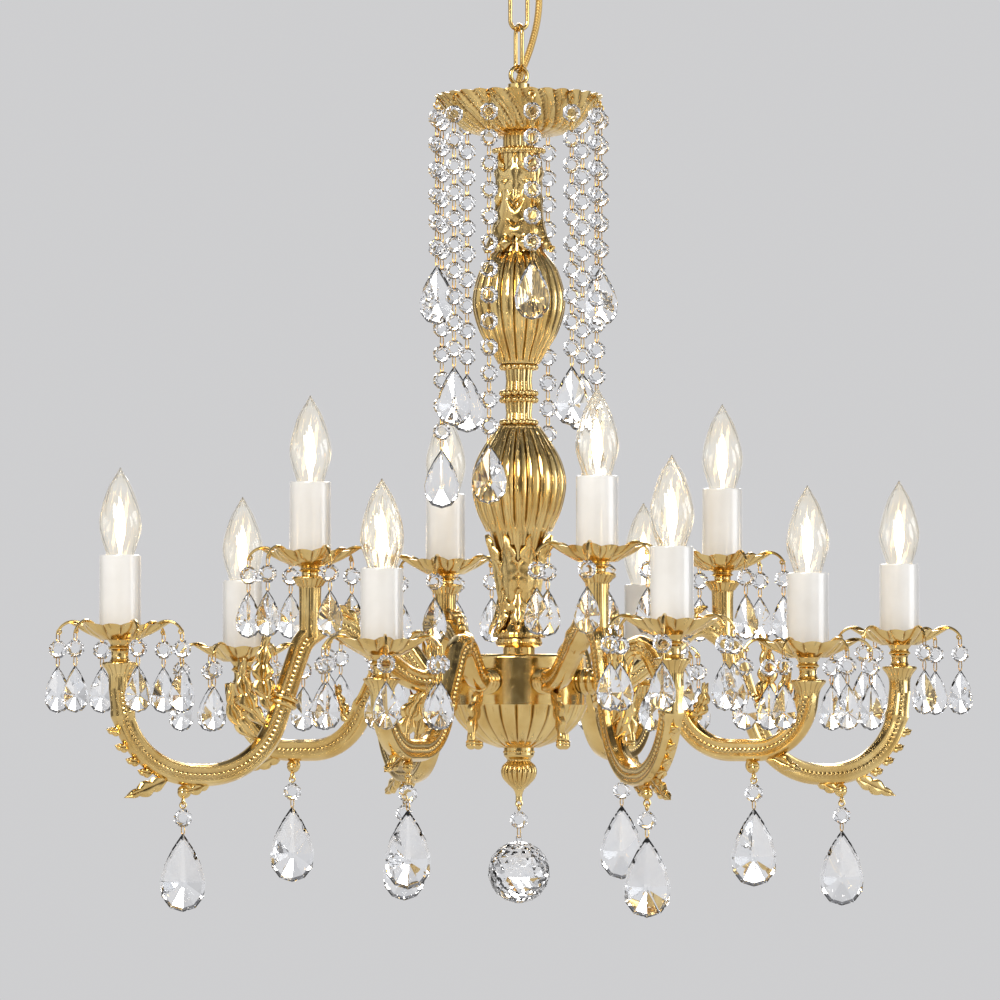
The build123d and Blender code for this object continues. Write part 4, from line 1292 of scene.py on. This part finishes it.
    def single_arm(self) -> Shape:
        """The single casting from the hub over a small hump and round a low bend to its candle.

        Returns:
            Its shapes as one.
        """
        low, flange = self.single_low_z, self.single_pan_z - self.cup_h
        corners = [(self.hub_r + 10, self.root_z), (80, self.root_z), (110, self.single_hump_z),
                   (160, low), (self.single_r - 5, low), (self.single_r, flange - 8)]
        tube = self.bar(corners, [26, 14, 48, 44], [(0.2, 1.2, 4), (0.42, 1.4, 4)])
        cup = self.cup(self.single_r, self.single_pan_z, self.cup_h, flange - 12)
        spur = ((213, -690), (232, -698), (250, -706), 12, 3)
        spurs = self.spray([spur, *self.thorns(self.single_r, low)[1:3]])
        crest = self.spray([((150, -668), (163, -652), (165, -634), 11, 4)], self.fan)
        return joined([self.root(), tube, cup, spurs, crest, self.tail(self.single_setback),
                       self.drop_knob(SINGLE_KNOB)])

    def build(self) -> None:
        """Makes each arm, turned to its place."""
        kinds = {"inner_arm": (self.inner_arm(), 0), "outer_arm": (self.outer_arm(), 0),
                 "single_arm": (self.single_arm(), SINGLE_TURN)}
        for kind, (shape, phase) in kinds.items():
            for i in range(ARM_COUNT):
                node = f"{kind}_{i + 1}"
                turned = shape.spun(phase + 360 / ARM_COUNT * i)
                piece(node + "_cast", turned, MAIN_BODY, [node], self.finish.gold)

    def lights(self) -> list[tuple[float, float, float]]:
        """Where the candles stand.

        Returns:
            Each candle's distance from the axis, pan level and direction in degrees.
        """
        kinds = [(self.outer_r, self.outer_pan_z, 0.0), (self.inner_r, self.inner_pan_z, 0.0),
                 (self.single_r, self.single_pan_z, SINGLE_TURN)]
        return [(radius, z, phase + 360 / ARM_COUNT * i)
                for i in range(ARM_COUNT) for radius, z, phase in kinds]


@dataclass
class Candles:
    """Drip pans, candle sleeves and lamps at the end of each arm."""

    finish: Finishes
    spots: list[tuple[float, float, float]]
    pan_foot_r: float = 16.0
    pan_rim_r: float = 31.0
    pan_h: float = 12.0
    pan_wall: float = 2.0
    pan_bore_r: float = 5.4
    pan_rows: int = 21
    pan_columns: int = 144
    pan_lobes: int = 12
    lobe_depth: float = 3.2
    lobe_run: float = 12.0
    rim_wave: float = 1.4
    rim_power: int = 3
    petal_reach: float = 11.0
    petal_rise: float = 1.2
    petal_start: float = 20.0
    petal_run: float = 11.0
    petal_power: float = 2.5
    share_power: float = 1.5
    prong_rows: int = 24
    prong_r: float = 1.2
    curl_r: float = 1.7
    curl_wire: float = 0.75
    sleeve_r: float = 16.75
    sleeve_wall: float = 1.6
    sleeve_top: float = 68.0
    sleeve_foot: float = 2.0
    sleeve_step: float = 6.0
    lip_h: float = 1.2
    lamp_columns: int = 64
    lamp_rows: int = 48
    glass_foot: float = 59.0
    glass_top: float = 138.0
    glass_r: float = 17.5
    glass_wall: float = 0.7
    flutes: int = 8
    flute_depth: float = 1.0
    flute_twist: float = 1.1
    flute_power: float = 0.7

    def pan(self) -> Shape:
        """A scalloped drip pan: a lobed wall drawn out to petals that end in curled prongs.

        The wall is drawn out and lifted by (1/2 + 1/2 cos(prongs * angle))^power, the more the nearer to
        its rim, and the rim rises and falls by |cos(lobes/2 * angle)|.

        Returns:
            The pan with its prongs, standing on z = 0.
        """
        foot_r, rim_r, height = self.pan_foot_r, self.pan_rim_r, self.pan_h
        outer = flowing([(foot_r, 0), (24, 4.6), (rim_r, height)], self.pan_rows)
        inner = flowing([(rim_r - 1.4, height), (22.6, 5.9), (17.8, self.pan_wall),
                         (self.pan_bore_r, self.pan_wall)], self.pan_rows)
        profile = np.concatenate([[(self.pan_bore_r, 0)], outer, inner])
        reach = np.clip((profile[:, 0] - foot_r) / self.lobe_run, 0, 1)
        dish = lathe(profile, self.pan_columns, self.pan_lobes, self.lobe_depth, loop=True, fade=reach)
        x, y, z = dish.points.T
        angle, radius = np.arctan2(y, x), np.hypot(x, y)
        wave = self.rim_wave * (np.abs(np.cos(self.pan_lobes / 2 * angle)) - 0.5)
        swing = 0.5 + 0.5 * np.cos(PRONG_COUNT * (angle - math.radians(PRONG_PHASE)))
        petal = swing ** self.petal_power
        share = np.clip((radius - self.petal_start) / self.petal_run, 0, 1) ** self.share_power
        rim = np.clip(z / height, 0, 1) ** self.rim_power
        dish.points[:, 2] += wave * rim + self.petal_rise * petal * share
        dish.points[:, :2] *= (1 + self.petal_reach * petal * share / radius)[:, None]
        line = arc((rim_r - 2.5, height - 1.5), (PRONG_REACH - 9, height + 2.5),
                   (PRONG_REACH, height - 5), self.prong_rows)
        thin = np.linspace(1.25, 0.9, len(line))[:, None]
        prong = along(line, self.prong_r * thin + np.zeros(WIRE_SIDES))
        tip = (PRONG_REACH - 1, 0, height - 5.2)
        curl = torus(self.curl_r, self.curl_wire, (1, 0, 0), tip, RING_ROWS)
        return joined([dish, joined([prong, curl]).around(PRONG_COUNT, PRONG_PHASE)])

    def sleeve(self) -> Shape:
        """A candle tube with a rounded lip, turned from its outside and its inside line.

        Returns:
            The closed tube.
        """
        r, top, wall = self.sleeve_r, self.sleeve_top, self.sleeve_wall
        foot, edge, step = self.sleeve_foot, self.sleeve_top - self.lip_h, self.sleeve_step
        lip = [(r, edge), (r - 0.25, top - 0.3), (r - wall / 2, top), (r - wall + 0.25, top - 0.3)]
        outside = stepped([(r, foot), (r, edge)], step)
        inside = stepped([(r - wall, edge), (r - wall, foot)], step)
        return lathe(np.concatenate([outside, lip, inside]), self.lamp_columns, loop=True)

    def glass(self) -> Shape:
        """A candle lamp's glass: a thin wall on a flame's line, its flutes twisting upwards.

        Returns:
            The closed wall.
        """
        foot, top, wall = self.glass_foot, self.glass_top, self.glass_wall
        span = top - foot
        outside = flowing([(7, foot), (12, foot + 12), (self.glass_r, foot + 0.45 * span),
                           (10.6, foot + 0.77 * span), (3.4, top - 5), (0.4, top)], self.lamp_rows)
        inside = outside[::-1] - np.array([wall, 0])
        inside[:, 0] = np.maximum(inside[:, 0], LEAST_R)
        inside[0, 1] -= wall
        fade = np.sin(np.pi * np.linspace(0, 1, self.lamp_rows)) ** self.flute_power
        profile = np.concatenate([outside, inside])
        return lathe(profile, self.lamp_columns, self.flutes, self.flute_depth, self.flute_twist,
                     loop=True, fade=np.concatenate([fade, fade[::-1]]))

    def thread(self) -> Shape:
        """The lit core of a lamp: a slim flame on a short post.

        Returns:
            The closed core.
        """
        foot = self.glass_foot
        line = flowing([(1.6, foot + 1), (1.4, foot + 14), (2.6, foot + 20), (4.2, foot + 32),
                        (2.6, foot + 46), (0.4, foot + 54)], 30)
        return lathe(line, 16)

    def build(self) -> None:
        """Makes the pans, sleeves and lamps and dresses what they hide."""
        made = self.finish
        rows = [("drip_pan_castings", self.pan(), ["drip_pans"], Slot.GOLD, made.gold),
                ("candle_tubes", self.sleeve(), ["candle_sleeves"], Slot.CANDLE, made.candle),
                ("lamp_glasses", self.glass(), ["bulb_glass"], Slot.GLASS, made.glass),
                ("lamp_threads", self.thread(), [], Slot.GLASS, made.glow)]
        for name, shape, nodes, slot, finish in rows:
            everywhere = joined([shape.moved(radius, 0, z).spun(turn) for radius, z, turn in self.spots])
            piece(name, everywhere, MAIN_BODY, nodes, finish)
        dress("lampholders", made.holder)
        dress("bulb_caps", made.cap)


@dataclass
class Crystals:
    """Cut beads and pear drops on wire: strands, arm drops, pan pendants and the ball."""

    finish: Finishes
    spots: list[tuple[float, float, float]]
    bead_d: float = 14.0
    bead_t: float = 8.0
    pitch: float = 21.3
    facets: int = 8
    table: float = 0.52
    girdle_half: float = 0.5
    pear_sides: int = 14
    pear_full: float = 0.77
    star_at: float = 0.64
    ball_sides: int = 16
    ball_rings: int = 10
    ball_tilts: tuple = (0.1, 0.12)
    ball_lap: float = 0.1
    wire_r: float = 0.42
    loop_half: float = 1.3
    loop_lap: float = 1.6
    loop_rows: int = 12
    loop_sides: int = 4
    ring_wire: float = 0.7
    ring_drop: float = 3.2
    ring_foot: float = 6.4
    seat_gap: float = 0.2
    strand_beads: tuple = (6, 10, 13)
    strand_drop: tuple = (49.0, 29.0, 15.0)
    arm_drop: tuple = (63.0, 37.0, 19.0)
    pan_drop: tuple = (38.0, 21.0, 11.0)
    arm_drop_gap: float = 5.0
    pan_bead_gap: float = 7.0
    pan_drop_gap: float = 6.0
    prong_tip: float = 6.6
    knob_eye: float = 7.9
    ball_eye_z: float = -732.5
    ball_r: float = 25.5
    ball_gap: float = 6.0
    ball_stub: float = 4.0
    ball_neck_r: float = 2.5

    def bead(self) -> Shape:
        """An octagon bead with its top at z = 0: a girdle and, half a step turned, two tables.

        Returns:
            The closed stone.
        """
        half = 180 / self.facets
        girdle = self.bead_d / 2 / math.cos(math.radians(half))
        levels = [(-self.bead_t / 2, self.table, half), (-self.girdle_half, 1, 0),
                  (self.girdle_half, 1, 0), (self.bead_t / 2, self.table, -half)]
        rings = []
        for depth, size, turn in levels:
            a = round_angles(self.facets) + math.radians(half + turn)
            x, z = size * girdle * np.cos(a), size * girdle * np.sin(a) - self.bead_d / 2
            rings.append(np.stack([x, np.full_like(x, depth), z], axis=-1))
        return faceted(np.array(rings))

    def pear(self, length: float, width: float, thickness: float) -> Shape:
        """A pear drop hung from z = 0, with a star of facets on both faces.

        Its outline is x = width/2 sin(a) sin(a/2) / full, z = -length (1 - cos a) / 2, where full is the
        most that the sines come to. The other rings are that outline drawn in towards the star's point
        on its middle line: a narrow bevel, then the star.

        Args:
            length: from its top to its foot.
            width: across its fullest part.
            thickness: from face to face.

        Returns:
            The closed stone.
        """
        star = -self.star_at * length
        a = round_angles(self.pear_sides)
        side = width / 2 * np.sin(a) * np.sin(a / 2) / self.pear_full
        level = -length * (1 - np.cos(a)) / 2 - star
        steps = [(-0.5, 0.05), (-0.2, 0.86), (-0.05, 1), (0.05, 1), (0.2, 0.86), (0.5, 0.05)]
        rings = [np.stack([size * side, np.full_like(a, depth * thickness), star + size * level], axis=-1)
                 for depth, size in steps]
        return faceted(np.array(rings))

    def ball(self) -> Shape:
        """A ball of triangular facets on rings turned half a step each, under a short neck.

        Returns:
            The closed stone, its neck's top at z = 0.
        """
        tilt = np.linspace(self.ball_tilts[0], np.pi - self.ball_tilts[1], self.ball_rings)
        centre = -self.ball_stub - self.ball_r + self.ball_lap
        radii = [self.ball_neck_r, *(self.ball_r * np.sin(tilt))]
        levels = [0.0, *(centre + self.ball_r * np.cos(tilt))]
        rings = []
        for i, (r, z) in enumerate(zip(radii, levels)):
            a = round_angles(self.ball_sides) - np.pi * i / self.ball_sides
            rings.append(np.stack([r * np.cos(a), r * np.sin(a), np.full_like(a, z)], axis=-1))
        return faceted(np.array(rings))

    def wire(self, length: float) -> Shape:
        """A slim wire loop from z = 0 down: a small round carried along a narrow upright oval.

        Args:
            length: the gap that it spans.

        Returns:
            The closed loop.
        """
        a, b = round_angles(self.loop_rows)[:, None], round_angles(self.loop_sides)[None]
        out = self.wire_r * np.cos(b)
        x = (self.loop_half + out) * np.cos(a)
        z = (length / 2 + self.loop_lap + out) * np.sin(a) - length / 2
        return grid(np.stack([x, self.wire_r * np.sin(b) + 0 * a, z], axis=-1), loop=True)

    def front(self, shape: Shape, x: float, y: float, z: float) -> Shape:
        """A stone or wire turned to the front, with its top at a point."""
        return shape.spun(FRONT_TURN).moved(x, y, z)

    def string(self, x: float, y: float, eye_z: float, turn: float, beads: int, link: float,
               drop: Shape) -> tuple[Shape, Shape]:
        """A ring, a run of beads on wire loops, and the drop at its foot.

        Args:
            x: the eye's place.
            y: the eye's place.
            eye_z: the eye's middle.
            turn: the direction, in degrees, that the hanging ring lies along.
            beads: how many beads it has.
            link: the gap between a bead and what hangs under it.
            drop: the stone at its foot.

        Returns:
            The stones and the wires.
        """
        middle = (x, y, eye_z - self.ring_drop)
        ring = torus(EYE_R, self.ring_wire, (*polar(1, turn), 0), middle, RING_ROWS)
        top = eye_z - self.ring_foot - self.seat_gap
        heights = top - (self.bead_d + link) * np.arange(beads + 1)
        bead, loop = self.bead(), self.wire(link)
        stones = [self.front(bead, x, y, z) for z in heights[:-1]]
        stones.append(self.front(drop, x, y, heights[-1]))
        wires = [ring] + [self.front(loop, x, y, z - self.bead_d) for z in heights[:-1]]
        return joined(stones), joined(wires)

    def hang(self, node: str, body: str, stones: Shape, wires: Shape) -> None:
        """Makes a string's stones and wires as two pieces on its own body."""
        piece(node + "_stones", stones, body, [node], self.finish.crystal, crease=0)
        piece(node + "_wires", wires, body, [node], self.finish.gold)

    def strands(self) -> None:
        """Makes the strands round the top bowl: short, medium and long in turn."""
        drop, link = self.pear(*self.strand_drop), self.pitch - self.bead_d
        for i in range(STRAND_COUNT):
            turn = STRAND_PHASE + 360 * i / STRAND_COUNT
            beads = self.strand_beads[i % len(self.strand_beads)]
            made = self.string(*polar(STRAND_R, turn), STRAND_EYE_Z, turn, beads, link, drop)
            self.hang(f"strand_{i + 1}", f"strand_{i + 1}", *made)

    def arm_drops(self) -> None:
        """Makes the large drops under the arms."""
        drop = self.pear(*self.arm_drop)
        for i in range(2 * ARM_COUNT):
            turn = 180 * i / ARM_COUNT
            radius, z = SINGLE_KNOB if i % 2 else DOUBLE_KNOB
            made = self.string(*polar(radius, turn), z - self.knob_eye, turn, 1, self.arm_drop_gap, drop)
            self.hang(f"arm_drop_{i + 1}", f"drop_{i + 1}", *made)

    def pendants(self) -> None:
        """Makes the bead and drop under each prong of the drip pans."""
        bead, drop = self.bead(), self.pear(*self.pan_drop)
        upper, lower = self.wire(self.pan_bead_gap), self.wire(self.pan_drop_gap)
        stones, wires = [], []
        for radius, pan_z, turn in self.spots:
            tip_z = pan_z + self.prong_tip
            bead_z = tip_z - self.pan_bead_gap
            foot_z = bead_z - self.bead_d
            drop_z = foot_z - self.pan_drop_gap
            for i in range(PRONG_COUNT):
                out = polar(PRONG_REACH, turn + PRONG_PHASE + 360 * i / PRONG_COUNT)
                x, y = np.add(polar(radius, turn), out)
                wires += [self.front(upper, x, y, tip_z), self.front(lower, x, y, foot_z)]
                stones += [self.front(bead, x, y, bead_z), self.front(drop, x, y, drop_z)]
        made = self.finish
        piece("pan_pendant_stones", joined(stones), MAIN_BODY, ["pan_crystals"],
              made.crystal, crease=0)
        piece("pan_pendant_wires", joined(wires), MAIN_BODY, ["pan_pins"], made.gold)

    def build(self) -> None:
        """Makes every crystal."""
        self.strands()
        self.arm_drops()
        self.pendants()
        made = self.string(0, 0, self.ball_eye_z, 90, 1, self.ball_gap, self.ball())
        self.hang("crystal_ball", "ball", *made)


@dataclass
class Suspension:
    """The ceiling fitting, the chain and the lamp cable that hangs beside it."""

    finish: Finishes
    cable_d: float = 5.6
    route: tuple = ((17, 16, -42), (17, 16, -60), (16.4, 17.6, -84), (10, 18.8, -110), (0.5, 17.8, -134),
                    (-5, 12.5, -157), (-5, 12.5, -177.3))
    cable_length: float = 138.84

    def from_front(self) -> list[Vector]:
        """The cable's route, which is given as (right, away, z) from the front.

        Returns:
            Its points in the frame, in metres.
        """
        t = math.radians(FRONT_TURN)
        return [Vector((r * math.cos(t) - a * math.sin(t), r * math.sin(t) + a * math.cos(t), z)) * MM
                for r, a, z in self.route]

    def cable(self) -> None:
        """Makes the cable, a smooth tube from the canopy into the top bowl."""
        line = bpy.data.curves.new("lamp_cable", "CURVE")
        line.dimensions = "3D"
        spline = line.splines.new("NURBS")
        points = self.from_front()
        spline.points.add(len(points) - 1)
        spline.points.foreach_set("co", [c for p in points for c in (*p, 1.0)])
        spline.order_u = 3
        spline.use_endpoint_u = True
        spline.resolution_u = 16
        curve = bpy.data.objects.new("cable_line", line)
        middle = bpy.data.meshes.new_from_object(curve)
        bpy.data.meshes.remove(middle)
        line.bevel_depth = self.cable_d / 2 * MM
        line.bevel_resolution = 5
        line.use_fill_caps = True
        tube = bpy.data.meshes.new_from_object(curve)
        bpy.data.objects.remove(curve)
        tube.materials.clear()
        tube.materials.append(self.finish.cable)
        obj = bpy.data.objects.new("lamp_cable", tube)
        bpy.context.scene.collection.objects.link(obj)
        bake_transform(obj)
        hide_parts("power_cable")
        LOG.info("lamp_cable: %d faces, bends with the chain", len(tube.polygons))

    def build(self) -> None:
        """Makes the cable and dresses the fitting and the chain."""
        self.cable()
        dress("ceiling_plate", self.finish.steel)
        for node in ("ceiling_canopy", "ceiling_hook", "upper_chain_link", "lower_chain_link"):
            dress(node, self.finish.gold)


@dataclass
class Studio:
    """The floor, the lights, the pale background and the camera."""

    floor_z: float = -1000.0
    floor_size: float = 3000.0
    distance: float = 4900.0
    camera_z: float = -690.0
    aim_right: float = -15.5
    aim_z: float = -484.0
    frame_width: float = 820.0
    lamp_aim_z: float = -450.0
    lamps: tuple = (("key", (-1.9, -2.2, 1.0), 1.2, 70, (1.0, 0.95, 0.88)),
                    ("fill", (2.4, -1.6, -0.2), 1.6, 26, (0.92, 0.95, 1.0)),
                    ("rim", (1.0, 2.4, 0.9), 1.2, 45, (1.0, 0.97, 0.92)))
    sky: tuple = (0.9, 0.92, 1.0, 1)
    sky_strength: float = 0.45
    backdrop: tuple = (0.62, 0.62, 0.63)
    zenith: tuple = (0.12, 0.12, 0.13)
    shade_span: tuple = (0.3, 0.8)
    panel_count: int = 3
    panel_bright: tuple = (1.15, 1.15, 1.15)
    panel_dark: tuple = (0.22, 0.21, 0.20)
    panel_span: tuple = (0.15, 0.75)

    def floor(self) -> None:
        """Lays a plain pale floor under the chandelier, clear to a view from below it."""
        half = self.floor_size / 2 * MM
        mesh = bpy.data.meshes.new("floor")
        corners = [(-half, -half), (half, -half), (half, half), (-half, half)]
        mesh.from_pydata([(x, y, self.floor_z * MM) for x, y in corners], [], [(0, 1, 2, 3)])
        finish = coating("pale_floor", (0.66, 0.66, 0.66), (0.70, 0.70, 0.70), (0.6, 0.7)).build()
        mix = Nodes(finish.node_tree)
        end = mix.tree.nodes["Material Output"].inputs["Surface"]
        below = mix.add("ShaderNodeNewGeometry").outputs["Backfacing"]
        clear = mix.add("ShaderNodeBsdfTransparent").outputs[0]
        mix.put(end, mix.either(below, end.links[0].from_socket, clear))
        mesh.materials.append(finish)
        obj = bpy.data.objects.new("floor", mesh)
        bpy.context.scene.collection.objects.link(obj)

    def lamp(self, name: str, place: tuple, size: float, watts: float, warm: tuple) -> None:
        """Hangs a soft square light aimed at the chandelier's middle.

        Args:
            name: the light's name.
            place: where it hangs, in metres.
            size: its side, in metres.
            watts: its power.
            warm: its colour.
        """
        light = bpy.data.lights.new(name, "AREA")
        light.size = size
        light.energy = watts
        light.color = warm
        obj = bpy.data.objects.new(name, light)
        obj.location = place
        aim = Vector((0, 0, self.lamp_aim_z * MM)) - obj.location
        obj.rotation_euler = aim.to_track_quat("-Z", "Y").to_euler()
        bpy.context.scene.collection.objects.link(obj)

    def world(self) -> None:
        """Lights all round softly, and shows the pale background to the camera, metal and glass.

        The background is pale all round the horizon and darkens overhead, as a studio's ceiling does.
        Metal and glass see it as three pale panels with darker gaps, the first gap behind the camera.
        """
        world = bpy.data.worlds.new("studio")
        world.use_nodes = True
        mix = Nodes(world.node_tree)
        soft = mix.tree.nodes["Background"]
        mix.put(soft.inputs["Color"], self.sky)
        mix.put(soft.inputs["Strength"], self.sky_strength)
        place = mix.add("ShaderNodeTexCoord").outputs["Generated"]
        way = mix.add("ShaderNodeSeparateXYZ", {0: place}).outputs
        shade = mix.ramp(way["Z"], self.backdrop, self.zenith, *self.shade_span)
        ray = mix.add("ShaderNodeLightPath").outputs
        unseen = mix.math("SUBTRACT", 1.0, ray["Is Camera Ray"])
        lit = mix.blend(unseen, shade, self.panels(mix, way), "MULTIPLY")
        seen = mix.add("ShaderNodeBackground", {"Color": lit})
        through = mix.math("MAXIMUM", ray["Is Camera Ray"], ray["Is Transmission Ray"])
        shown = mix.math("MAXIMUM", through, ray["Is Glossy Ray"])
        end = mix.tree.nodes["World Output"].inputs["Surface"]
        mix.put(end, mix.either(shown, soft.outputs[0], seen.outputs[0]))
        bpy.context.scene.world = world

    def panels(self, mix: Nodes, way: bpy.types.NodeOutputs) -> Socket:
        """How bright the background is to metal and glass: a ramp over cos(panel_count * azimuth).

        Args:
            mix: the world's nodes.
            way: the looking direction's X, Y and Z.

        Returns:
            The brightness, whose azimuth is counted from the camera's side.
        """
        azimuth = mix.math("ARCTAN2", way["Y"], way["X"])
        start = -self.panel_count * math.radians(FRONT_TURN - 90)
        wave = mix.math("COSINE", mix.math("MULTIPLY_ADD", azimuth, self.panel_count, start))
        return mix.ramp(wave, self.panel_bright, self.panel_dark, *self.panel_span)

    def camera(self) -> None:
        """Stands the camera in front, at the arms' height, looking slightly up."""
        right = Vector((*polar(1, FRONT_TURN), 0))
        back = Vector((*polar(1, FRONT_TURN - 90), 0))
        data = bpy.data.cameras.new("camera")
        obj = bpy.data.objects.new("camera", data)
        beside = right * self.aim_right
        aim = (beside + Vector((0, 0, self.aim_z))) * MM
        obj.location = (back * self.distance + beside + Vector((0, 0, self.camera_z))) * MM
        reach = (aim - obj.location).length
        data.lens = data.sensor_width * reach / (self.frame_width * MM)
        data.clip_end = 100
        obj.rotation_euler = (aim - obj.location).to_track_quat("-Z", "Y").to_euler()
        bpy.context.scene.collection.objects.link(obj)
        bpy.context.scene.camera = obj

    def build(self) -> None:
        """Sets up the whole studio."""
        self.floor()
        for lamp in self.lamps:
            self.lamp(*lamp)
        self.world()
        self.camera()
        bpy.context.scene.view_settings.view_transform = "Standard"


def main() -> None:
    """Builds the chandelier and its studio."""
    logging.basicConfig(level=logging.INFO, format="%(message)s")
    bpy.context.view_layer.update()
    finishes = Finishes.mixed()
    arms = Arms(finishes)
    Column(finishes).build()
    arms.build()
    Candles(finishes, arms.lights()).build()
    Crystals(finishes, arms.lights()).build()
    Suspension(finishes).build()
    Studio().build()


if __name__ == "__main__":
    main()
